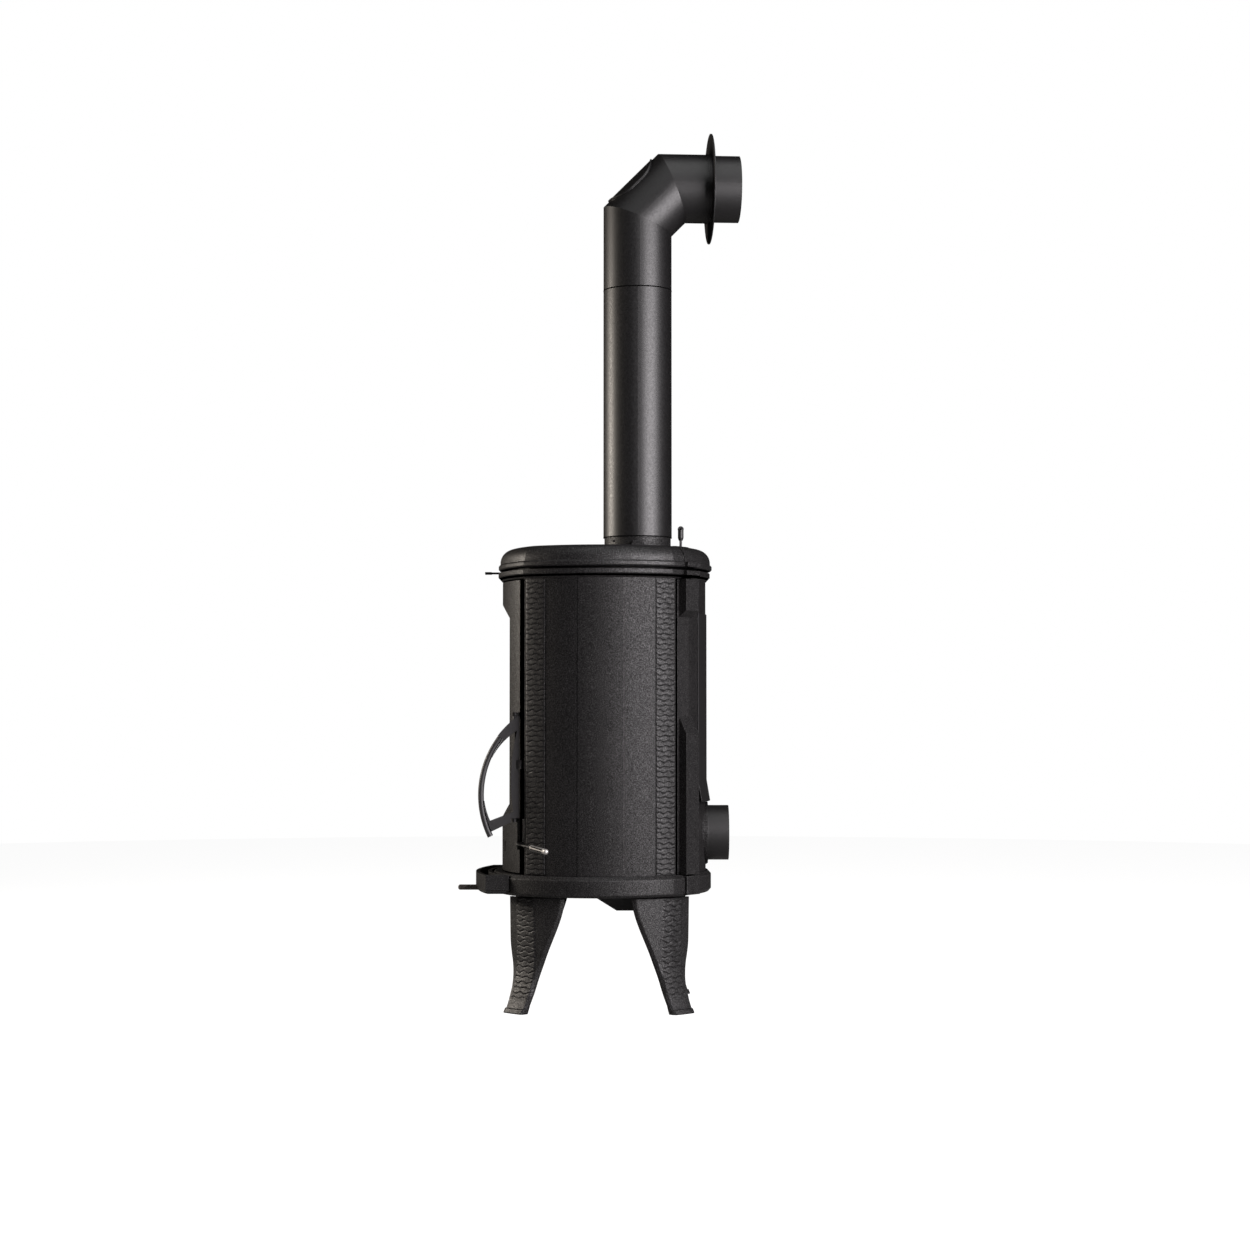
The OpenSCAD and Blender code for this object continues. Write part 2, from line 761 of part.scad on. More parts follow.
module fire_grate() {
    rim = 14;
    pitch = (grate_l - 2 * rim) / grate_bars;
    color(iron_dark) difference() {
        block([-grate_l / 2, grate_y - grate_w / 2, hearth_z - grate_t],
              [grate_l / 2, grate_y + grate_w / 2, hearth_z]);
        for (i = [0:grate_bars - 1]) {
            x = rim - grate_l / 2 + (i + 0.5) * pitch;
            for (side = [-1, 1])
                block([x - pitch * 0.24, grate_y + side * 37 - 28, hearth_z - grate_t - over],
                      [x + pitch * 0.24, grate_y + side * 37 + 28, hearth_z + over]);
        }
    }
}

module ash_pan() {
    wall = 2;
    half_w = ash_half_w - 4;
    z0 = base_z + 37;
    color(paint) difference() {
        union() {
            block([-half_w, -148, z0], [half_w, 150, z0 + 50]);
            block([-60, -158, z0 + 42], [60, -147, z0 + 50]);
        }
        block([wall - half_w, wall - 148, z0 + wall], [half_w - wall, 150 - wall, z0 + 51]);
        block([-52, -155, z0 + 40], [52, -149, z0 + 51]);
    }
}

module log_guard() {
    guard_r = frame_r - frame_t - 10;
    color(iron_dark) difference() {
        intersection() {
            shell(front_c, guard_r, guard_r - 8, hearth_z, hearth_z + 38);
            block([-125, -front_reach, hearth_z], [125, 0, panel_z]);
        }
        for (x = [-90:30:90]) block([x - 7, -front_reach, hearth_z + 12], [x + 7, 0, hearth_z + 28]);
    }
}

module liner() {
    color(iron_dark) difference() {
        translate([side_c, 0, hearth_z]) intersection() {
            cylinder(h = liner_top - hearth_z, r = liner_out);
            block([0, -liner_half_l, 0], [liner_out, liner_half_l, panel_h]);
        }
        translate([side_c, 0, hearth_z - over]) cylinder(h = panel_h, r = liner_out - liner_t);
    }
}

module liner_right() { liner(); }
module liner_left() { mirror([1, 0, 0]) liner(); }

module liner_rear() {
    color(iron_dark) difference() {
        block([-liner_rear_half_w, liner_rear_y, hearth_z],
              [liner_rear_half_w, liner_rear_y + liner_t, liner_top]);
        // secondary air holes
        for (x = [-90:30:90]) translate([x, liner_rear_y - over, liner_top - 130])
            rotate([-90, 0, 0]) cylinder(h = liner_t + 2 * over, d = 8);
    }
}

module baffle() {
    color(iron_dark) intersection() {
        union() {
            block([-body_half_w, -liner_half_l, liner_top],
                  [body_half_w, liner_half_l, liner_top + baffle_t]);
            block([-baffle_half_w, -liner_half_l - 12, liner_top],
                  [baffle_half_w, liner_rear_y + liner_t - 4, liner_top + baffle_t]);
        }
        oval_slab(liner_top, liner_top + baffle_t, -panel_t - 8);
    }
}

// ---- flue ----

collar_spigot_r = flue_bore - gap;
collar_throat_r = flue_bore - 9;
collar_r = flue_r - 2.5;
collar_bolt_d = 4;
collar_nut_across = 6;
collar_bolt_r = collar_r + collar_nut_across / 2 + 0.2;
collar_lug_h = 6;
collar_lug_reach = collar_bolt_r + 3;
pipe_end_l = 48;
pipe_end_r = flue_bore - fit;
wall_end_r = wall_end_d / 2;
wall_leg = 171;
bead_at = 161;
rosette_at = 167;
rosette_t = 2.5;
mitre_half = 22.5;
hatch_l = 140;
hatch_w = 108;
hatch_cut = 10;

module at_flue() { translate([0, flue_back, 0]) children(); }

module flue_collar() {
    lug_z = top_z + 10;
    color(iron) difference() {
        union() {
            at_flue() {
                translate([0, 0, top_z]) cylinder(h = collar_h, r = collar_r);
                translate([0, 0, top_z]) cylinder(h = collar_h + 38, r = collar_spigot_r);
                // bolt lugs fore and aft, and a cast pad on each side
                block([-7, -collar_lug_reach, top_z], [7, collar_lug_reach, top_z + collar_lug_h]);
                both_sides() rotate([90, 0, 90]) linear_extrude(collar_r + 5)
                    polygon([[-19, top_z + 2], [19, top_z + 2], [11, lug_z + 9], [-11, lug_z + 9]]);
            }
        }
        at_flue() translate([0, 0, top_z - over]) cylinder(h = 100, r = collar_throat_r);
        at_flue() for (y = [-collar_bolt_r, collar_bolt_r]) translate([0, y, top_z - over])
            cylinder(h = 30, d = collar_bolt_d + 2 * fit);
    }
}

module collar_bolts() {
    color(steel) at_flue() for (y = [-collar_bolt_r, collar_bolt_r]) translate([0, y, top_z]) {
        cylinder(h = collar_lug_h, d = collar_bolt_d);
        translate([0, 0, collar_lug_h]) hex_head(collar_nut_across, 3);
    }
}

module flue_pipe() {
    color(paint) at_flue() difference() {
        union() {
            translate([0, 0, collar_z]) cylinder(h = pipe_l - gap, r = flue_r);
            translate([0, 0, joint_z - over]) cylinder(h = pipe_end_l - 6, r = pipe_end_r);
            translate([0, 0, joint_z + pipe_end_l - 7])
                cylinder(h = 6, r1 = pipe_end_r, r2 = pipe_end_r - 2);
        }
        translate([0, 0, collar_z - over]) cylinder(h = pipe_l + 1 - 6, r = flue_bore);
        translate([0, 0, collar_z]) cylinder(h = pipe_l + pipe_end_l, r = pipe_end_r - flue_wall);
    }
}

// The elbow's own axes: upright leg on z, slanted middle at 45 degrees, level leg along y
module elbow_body(r, run) {
    upper_z = mitre_z + elbow_step;
    far = 4 * flue_r;
    // upright leg under the first mitre
    difference() {
        translate([0, 0, joint_z]) cylinder(h = elbow_leg + r, r = r);
        translate([0, 0, mitre_z]) rotate([-mitre_half, 0, 0]) translate([0, 0, far / 2])
            cube(far, center = true);
    }
    // slanted middle between both mitres
    intersection() {
        translate([0, 0, mitre_z]) rotate([-45, 0, 0]) translate([0, 0, -r])
            cylinder(h = elbow_step * sqrt(2) + 2 * r, r = r);
        translate([0, 0, mitre_z]) rotate([-mitre_half, 0, 0]) translate([0, 0, far / 2])
            cube(far, center = true);
        translate([0, elbow_step, upper_z]) rotate([-90 + mitre_half, 0, 0])
            translate([0, 0, -far / 2]) cube(far, center = true);
    }
    // level leg past the second mitre
    intersection() {
        translate([0, elbow_step - r, upper_z]) rotate([-90, 0, 0])
            cylinder(h = run - elbow_step + r, r = r);
        translate([0, elbow_step, upper_z]) rotate([-90 + mitre_half, 0, 0])
            translate([0, 0, far / 2]) cube(far, center = true);
    }
}

// Places a child on the elbow: along its level leg
module at_elbow() { at_flue() rotate([0, 0, elbow_turn]) children(); }

module level_tube(y0, y1, r) {
    translate([0, y0, mitre_z + elbow_step]) rotate([-90, 0, 0]) cylinder(h = y1 - y0, r = r);
}

// Places a child on the middle segment: z points out of its upper side, y up along it
module at_hatch() {
    translate([0, elbow_step / 2, mitre_z + elbow_step / 2]) rotate([45, 0, 0]) children();
}

// The hatch's rounded outline, pushed out along z
module hatch_prism(l, w, h) {
    straight = (l - w) / 2;
    linear_extrude(h) {
        for (y = [-straight, straight]) translate([0, y]) circle(w / 2);
        square([w, 2 * straight], center = true);
    }
}

wall_run = (wall_reach - flue_back - wall_end_r * sin(elbow_turn)) / cos(elbow_turn);

module flue_elbow() {
    color(paint) at_elbow() difference() {
        union() {
            elbow_body(flue_r, wall_leg);
            level_tube(bead_at - 3, bead_at + 1, flue_r + 1.6);
            level_tube(wall_leg - flue_wall, wall_run, wall_end_r);
        }
        elbow_body(flue_bore, wall_leg - flue_wall);
        translate([0, 0, joint_z - over]) cylinder(h = 20, r = flue_bore);
        level_tube(bead_at, wall_run + over, wall_end_r - flue_wall);
        at_hatch() hatch_prism(hatch_l - 2 * hatch_cut, hatch_w - 2 * hatch_cut, 2 * flue_r);
    }
}

module hatch_cover() {
    cover_t = 2;
    bead = 1.5;
    color(paint) at_elbow() at_hatch() {
        intersection() {
            hatch_prism(hatch_l, hatch_w, 2 * flue_r);
            rotate([90, 0, 0]) translate([0, 0, -hatch_l]) difference() {
                cylinder(h = 2 * hatch_l, r = flue_r + gap + cover_t);
                translate([0, 0, -over]) cylinder(h = 2 * hatch_l + 2 * over, r = flue_r + gap);
            }
        }
        intersection() {
            difference() {
                hatch_prism(hatch_l, hatch_w, 2 * flue_r);
                translate([0, 0, -over]) hatch_prism(hatch_l - 6, hatch_w - 6, 3 * flue_r);
            }
            rotate([90, 0, 0]) translate([0, 0, -hatch_l]) difference() {
                cylinder(h = 2 * hatch_l, r = flue_r + gap + cover_t + bead);
                translate([0, 0, -over]) cylinder(h = 2 * hatch_l + 2 * over, r = flue_r + gap + 1);
            }
        }
    }
}

module wall_rosette() {
    color(paint) at_elbow() difference() {
        union() {
            level_tube(rosette_at, rosette_at + rosette_t, rosette_d / 2);
            level_tube(rosette_at, rosette_at + 4, flue_r + 2);
        }
        level_tube(rosette_at - over, rosette_at + 10, flue_r + fit);
    }
}

// The damper disc turns on a cross shaft under the flue; its tail is lifted by the pull
damper_disc_r = collar_throat_r + 3;

module flue_damper() {
    disc_t = 5;
    disc_top = top_z - 8 - 1.5;
    shaft_half = 92 - over;
    color(iron_dark) {
        difference() {
            at_flue() translate([0, 0, disc_top - disc_t]) cylinder(h = disc_t, r = damper_disc_r);
            at_flue() translate([0, -30, disc_top - 2 * disc_t]) cylinder(h = 30, r = 14);
        }
        translate([-shaft_half, damper_hinge_y, damper_hinge_z]) rotate([0, 90, 0])
            cylinder(h = 2 * shaft_half, r = shaft_r);
        for (x = [-30, 22]) block([x, damper_hinge_y - 20, damper_hinge_z - 3],
                                  [x + 8, damper_hinge_y + 3, disc_top - 1]);
        translate([-5, damper_hinge_y, damper_hinge_z]) rotate([-45, 0, 0])
            block([0, 0, -2.5], [10, 31, 2.5]);
    }
}

module damper_pull() {
    color(steel) translate([0, pull_y, top_z - 38])
        cylinder(h = 62, d = pull_d);
}

module pull_knob() {
    knob_h = 34;
    color(paint) difference() {
        union() {
            translate([0, pull_y, top_z + 24]) cylinder(h = 6, r1 = 4.5, r2 = 6.5);
            translate([0, pull_y, top_z + 30]) cylinder(h = knob_h - 14, r = 6.5);
            translate([-3.5, pull_y, top_z + 50]) rotate([0, 90, 0]) cylinder(h = 7, r = 7);
        }
        translate([-10, pull_y, top_z + 50]) rotate([0, 90, 0]) cylinder(h = 20, r = 2.5);
    }
}

// The slide over the ring's air ports, with its finger tab in the shadow gap
wash_travel = 12;

module airwash_slide() {
    slide_t = 3;
    z = ring_z + gap;
    tab_reach = 268;
    color(paint) difference() {
        union() {
            intersection() {
                shell(front_c, wash_r + 6, wash_r - 5.5, z, z + slide_t);
                block([-84, -front_reach, z], [84, 0, z + slide_t]);
            }
            block([-9, 14 - tab_reach, z], [9, front_c - wash_r, z + slide_t + 0.7]);
            block([-9, -tab_reach, z - 0.8], [9, 15 - tab_reach, z + slide_t + 1.5]);
        }
        for (x = wash_port_xs) translate([x + wash_travel, front_c - sqrt(wash_r * wash_r - x * x), z - over])
            cylinder(h = 10, d = 8);
    }
}

// ---- door ----

door_z0 = base_z + 3;
door_z1 = panel_z - 3;
bay_z0 = base_z + 155;
bay_z1 = panel_z - 86;
bay_y = bay_depth - front_reach;
bay_slope = 35 / bay_depth;
bay_wall = 12;
bay_half_w = 140;
window_z0 = (bay_z0 + bay_z1 - window_h) / 2;
window_z1 = window_z0 + window_h;
glass_lap = 8;
seal_w = 10;
seal_half_w = 160;
notch_z0 = base_z + 55;
notch_z1 = base_z + 124;
notch_x = 161;
pivot_x = 166;
pivot_y = -192;
pivot_r = 7;
handle_z0 = base_z + 125;
handle_z1 = base_z + 352;
handle_pin_r = 4;
handle_back = 10.5;
// depth of the door's pocket behind the handle's back edge
pocket_depth = 7;
pocket_x = 148;
bow_c = [-56, base_z + 177];
lever_z = notch_z0 + 12.5;

// The bay's faces in the y-z plane, run on past the door's curve
module bay_cut_outline() {
    past = bay_depth + 10;
    rise = past * bay_slope;
    polygon([[bay_y - past, bay_z0 - rise], [bay_y, bay_z0], [bay_y, bay_z1], [bay_y - past, bay_z1 + rise]]);
}

module bay_wall_outline() {
    past = bay_depth + 10;
    rise = past * bay_slope;
    lean = 6;
    polygon([
        [bay_y - past, bay_z0 - rise], [bay_y, bay_z0], [bay_y, bay_z1], [bay_y - past, bay_z1 + rise],
        [bay_y - past + bay_wall, bay_z1 + rise + lean], [bay_y + bay_wall, bay_z1 + lean],
        [bay_y + bay_wall, bay_z0 - lean], [bay_y - past + bay_wall, bay_z0 - rise - lean],
    ]);
}

module across(half_w) {
    translate([-half_w, 0, 0]) rotate([90, 0, 90]) linear_extrude(2 * half_w) children();
}

// Part of the door's curve between two radii, within a frame outline
module door_band(r_out, r_in, half_w, z0, z1) {
    intersection() {
        shell(front_c, r_out, r_in, z0, z1);
        block([-half_w, -2 * front_reach, z0], [half_w, -60, z1]);
    }
}

module door() {
    inner_r = front_r - door_t;
    handle_lug_h = 8.5;
    slot_w = 9;
    color(iron) difference() {
        union() {
            difference() {
                door_band(front_r, inner_r, door_half_w, door_z0, door_z1);
                across(door_half_w + over) bay_cut_outline();
            }
            intersection() {
                across(bay_half_w) bay_wall_outline();
                translate([0, front_c, door_z0]) cylinder(h = door_z1 - door_z0, r = front_r - 0.01);
                block([-bay_half_w, -front_reach - over, bay_z0 - 40], [bay_half_w, -60, bay_z1 + 40]);
            }
            for (z = hinge_zs) {
                translate([hinge_x, hinge_y, z + lug_h + gap]) cylinder(h = lug_h, r = knuckle_r);
                block([hinge_x, hinge_y - 4, z + lug_h + gap],
                      [hinge_x + 22, hinge_y + 3, z + 2 * lug_h + gap]);
            }
            for (z = [handle_z0 - gap - handle_lug_h, handle_z1 + gap]) {
                translate([pivot_x, pivot_y, z]) cylinder(h = handle_lug_h, r = pivot_r);
                block([pivot_x - 6, pivot_y, z], [pivot_x + 5, pivot_y + 16, z + handle_lug_h]);
            }
        }
        block([-window_half_w, -front_reach, window_z0], [window_half_w, 0, window_z1]);
        // a shallow step round the window
        block([-window_half_w - 5, bay_y - over, window_z0 - 5],
              [window_half_w + 5, bay_y + 3, window_z1 + 5]);
        // the lever's notch in the edge and its groove on the inner face
        block([notch_x, -front_reach, notch_z0], [door_half_w + over, -100, notch_z1]);
        intersection() {
            shell(front_c, inner_r + 7, inner_r - over, notch_z0, notch_z1);
            block([88, -front_reach, notch_z0], [door_half_w + over, 0, notch_z1]);
        }
        // the pocket behind the handle
        intersection() {
            shell(front_c, front_r + over, front_r - pocket_depth, handle_z0 - gap, handle_z1 + gap);
            block([pocket_x, -front_reach, door_z0], [door_half_w + over, 0, door_z1]);
        }
        // the latch claw's notch
        block([158, -front_reach, latch_z - 5], [door_half_w + over, -100, latch_z + 25]);
        // air slots behind the shutter
        for (x = [-80:40:80]) block([x - slot_w / 2, -front_reach - over, base_z + 46],
                                    [x + slot_w / 2, -100, base_z + 70]);
        for (z = hinge_zs) translate([hinge_x, hinge_y, z + lug_h])
            cylinder(h = lug_h + over, r = hinge_pin_r + fit);
        for (z = [handle_z0 - gap - handle_lug_h - over, handle_z1 + gap - over])
            translate([pivot_x, pivot_y, z])
                cylinder(h = handle_lug_h + 2 * over, r = handle_pin_r + fit);
    }
}

glass_y = bay_y + bay_wall + 1.8;

module window_pane(y0, y1, lap) {
    block([-window_half_w - lap, y0, window_z0 - lap], [window_half_w + lap, y1, window_z1 + lap]);
}

module door_glass() {
    color([0.2, 0.2, 0.2, 0.6]) window_pane(glass_y, glass_y + glass_t, glass_lap);
}

module glass_gasket() {
    color([0.85, 0.84, 0.8]) difference() {
        window_pane(bay_y + bay_wall, glass_y, glass_lap - 1);
        window_pane(bay_y, glass_y + over, 1);
    }
}

// Clips above and below the glass, each a foot on the door and a tongue over the glass
module glass_clips() {
    tongue_y = glass_y + glass_t + gap;
    seat_y = bay_y + bay_wall;
    clip_t = 2.5;
    foot_h = 11;
    color(steel) for (x = [-70, 0, 70], end = [0, 1]) {
        edge = end == 0 ? window_z0 - glass_lap : window_z1 + glass_lap;
        out = end == 0 ? -1 : 1;
        foot_a = edge + out * 1;
        foot_b = edge + out * foot_h;
        tip = edge - out * 8;
        block([x - 9, seat_y, min(foot_a, foot_b)], [x + 9, tongue_y + clip_t, max(foot_a, foot_b)]);
        block([x - 9, tongue_y, min(foot_b, tip)], [x + 9, tongue_y + clip_t, max(foot_b, tip)]);
    }
}

module door_rope_seal() {
    seal_r = front_r - door_t - gap;
    color([0.75, 0.74, 0.7]) difference() {
        door_band(seal_r, frame_r + gap, seal_half_w, door_z0 + 14, door_z1 - 13);
        block([seal_w - seal_half_w, -front_reach, door_z0 + 14 + seal_w],
              [seal_half_w - seal_w, 0, door_z1 - 13 - seal_w]);
    }
}

module handle_pins() {
    color(steel) {
        translate([pivot_x, pivot_y, handle_z0 - gap - 8.5]) cylinder(h = 28, r = handle_pin_r);
        translate([pivot_x, pivot_y, handle_z1 + gap + 8.5 - 28]) cylinder(h = 28, r = handle_pin_r);
    }
}

// The bow handle: a flat plate along the door's edge, and a round grip along its bow
module door_handle() {
    plate_t = 14;
    grip_r = grip_d / 2;
    open_r = 160;
    back_r = 450;
    grip_from = 142.7;
    grip_to = 206;
    arm_tip = [-236, base_z + 99];
    arm_root = [-180, base_z + 126];
    color(paint) difference() {
        union() {
            intersection() {
                translate([plate_t / 2, 0, 0]) across_at(pivot_x, plate_t) difference() {
                    translate(bow_c) circle(bow_r);
                    // the finger opening, with the back strip widest at mid height
                    difference() {
                        translate([-101, base_z + 185]) circle(open_r);
                        translate([back_r - 200, base_z + 210]) circle(back_r);
                        polygon([[-300, base_z + 99], [-180, base_z + 145], [-180, base_z], [-300, base_z]]);
                    }
                    // below the lower arm
                    polygon([arm_tip + [-60, -29], arm_tip, arm_root, [-150, base_z + 126], [-150, base_z]]);
                    translate(bow_c) rotate(grip_from) difference() {
                        intersection() {
                            circle(bow_r + 5);
                            square(bow_r + 5);
                            rotate(grip_to - grip_from - 90) square(bow_r + 5);
                        }
                        circle(bow_r - grip_d - 1);
                    }
                }
                block([0, -400, handle_z0 - 60], [body_half_w, pivot_y + handle_back, handle_z1]);
            }
            translate([pivot_x, 0, 0]) rotate([90, 0, 90]) translate(bow_c) rotate(grip_from)
                rotate_extrude(angle = grip_to - grip_from)
                    translate([bow_r - grip_r - 0.5, 0]) circle(grip_r);
            // the latch claw
            translate([pivot_x, pivot_y, latch_z]) rotate([0, 0, 50]) block([0, -3, 0], [21, 3, 20]);
        }
        // room for the door's lower lug
        block([0, pivot_y - pivot_r - 1, handle_z0 - 60], [body_half_w, 0, handle_z0]);
        translate([pivot_x, pivot_y, handle_z0 - over]) cylinder(h = 20.5, r = handle_pin_r + fit);
        translate([pivot_x, pivot_y, handle_z1 - 19.5]) cylinder(h = 20.5, r = handle_pin_r + fit);
    }
}

// An outline drawn in the y-z plane, made a plate of thickness t that ends at x
module across_at(x, t) {
    translate([x - t, 0, 0]) rotate([90, 0, 90]) linear_extrude(t) children();
}

// The shutter behind the door's air slots, its strip in the groove and its rod outside
rod_from = [168, -186, lever_z];
rod_to = [224, -155.5, lever_z - 4];
grip_to_pt = [252, -120, lever_z - 12];

// A round bar between two points
module bar(a, b, r) {
    d = b - a;
    translate(a) rotate([0, acos(d[2] / norm(d)), atan2(d[1], d[0])]) cylinder(h = norm(d), r = r);
}

module air_shutter() {
    inner_r = front_r - door_t;
    strip_h = 9;
    z0 = base_z + 42;
    color(iron_dark) {
        door_band(inner_r - 0.4, frame_r + 0.6, 110, z0, z0 + 33);
        intersection() {
            shell(front_c, inner_r + 5.5, inner_r + 1, lever_z - strip_h / 2, lever_z + strip_h / 2);
            block([92, -front_reach, 0], [169, 0, panel_z]);
        }
        intersection() {
            shell(front_c, inner_r + 2, frame_r + 0.6, lever_z - strip_h / 2, lever_z + strip_h / 2);
            block([92, -front_reach, 0], [109, 0, panel_z]);
        }
        intersection() {
            shell(front_c, front_r + 5, inner_r + 1, lever_z - strip_h / 2, lever_z + strip_h / 2);
            block([163.5, -front_reach, 0], [169, 0, panel_z]);
        }
        bar(rod_from, rod_to, 2.6);
        translate(rod_to) sphere(3);
    }
}

module lever_grip() {
    grip_r = 6;
    dir = (grip_to_pt - rod_to) / norm(grip_to_pt - rod_to);
    color(steel) {
        bar(rod_to + 3.3 * dir, grip_to_pt, grip_r);
        translate(grip_to_pt) sphere(grip_r + 0.5);
    }
}

base_plate();
ash_lip();
leg_front_right();
leg_front_left();
leg_rear_right();
leg_rear_left();
leg_bolts();
air_box();
side_panel_right();
side_panel_left();
front_frame();
rear_panel();
rear_heat_shield();
air_inlet();
top_ring();
top_plate();
tie_rods();
tie_rod_nuts();
liner_right();
liner_left();
liner_rear();
baffle();
grate_frame();
fire_grate();
ash_pan();
log_guard();
hinge_pins();
door_catch();
flue_collar();
collar_bolts();
flue_pipe();
flue_elbow();
hatch_cover();
wall_rosette();
door();
door_glass();
glass_gasket();
glass_clips();
door_rope_seal();
handle_pins();
door_handle();
air_shutter();
lever_grip();
air_damper();
airwash_slide();
flue_damper();
damper_pull();
pull_knob();
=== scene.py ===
"""Looks, leg castings, cast relief and small fittings of a wood stove, placed around its solids."""
import json
import math
import bmesh
import bpy
from mathutils import Matrix, Vector, noise


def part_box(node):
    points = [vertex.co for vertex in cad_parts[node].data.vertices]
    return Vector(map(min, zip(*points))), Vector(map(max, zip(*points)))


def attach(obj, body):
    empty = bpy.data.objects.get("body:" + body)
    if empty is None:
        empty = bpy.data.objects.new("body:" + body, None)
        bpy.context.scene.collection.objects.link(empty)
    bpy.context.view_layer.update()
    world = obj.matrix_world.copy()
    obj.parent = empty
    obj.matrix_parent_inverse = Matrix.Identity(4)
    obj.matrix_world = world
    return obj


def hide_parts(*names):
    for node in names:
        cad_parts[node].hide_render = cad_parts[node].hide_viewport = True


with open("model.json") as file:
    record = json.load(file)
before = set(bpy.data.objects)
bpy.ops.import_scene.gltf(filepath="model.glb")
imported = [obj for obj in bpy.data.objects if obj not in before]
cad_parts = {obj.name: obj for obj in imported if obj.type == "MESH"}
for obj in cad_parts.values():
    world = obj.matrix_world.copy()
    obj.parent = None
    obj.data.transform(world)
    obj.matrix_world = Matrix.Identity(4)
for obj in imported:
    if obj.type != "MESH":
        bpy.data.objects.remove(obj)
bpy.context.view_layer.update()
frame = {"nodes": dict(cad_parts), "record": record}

NODES = frame["nodes"]
SIDES = ((1, "right"), (-1, "left"))
ENDS = ((1, "rear"), (-1, "front"))

# Sizes in metres, as the solids have them: the arc of a side, the castings' heights, the flue,
# and the height, knee and direction of the legs
SIDE_R, SIDE_C = 0.275, -0.025
BASE_Z, PANEL_Z, TOP_Z = 0.305, 0.964, 1.037
FLUE_Y, FLUE_R = 0.083, 0.07875
COLLAR_Z, JOINT_Z = 1.066, 1.640
LEG_H, KNEE_Z, LEG_ANGLE = 0.259, 0.115, 43.0
# How far along a side its inner grooves and the two edges of its relief strips lie
GROOVE_Y, STRIP_FROM_Y, STRIP_TO_Y = 0.0515, 0.122, 0.166

# ---------------------------------------------------------------- materials


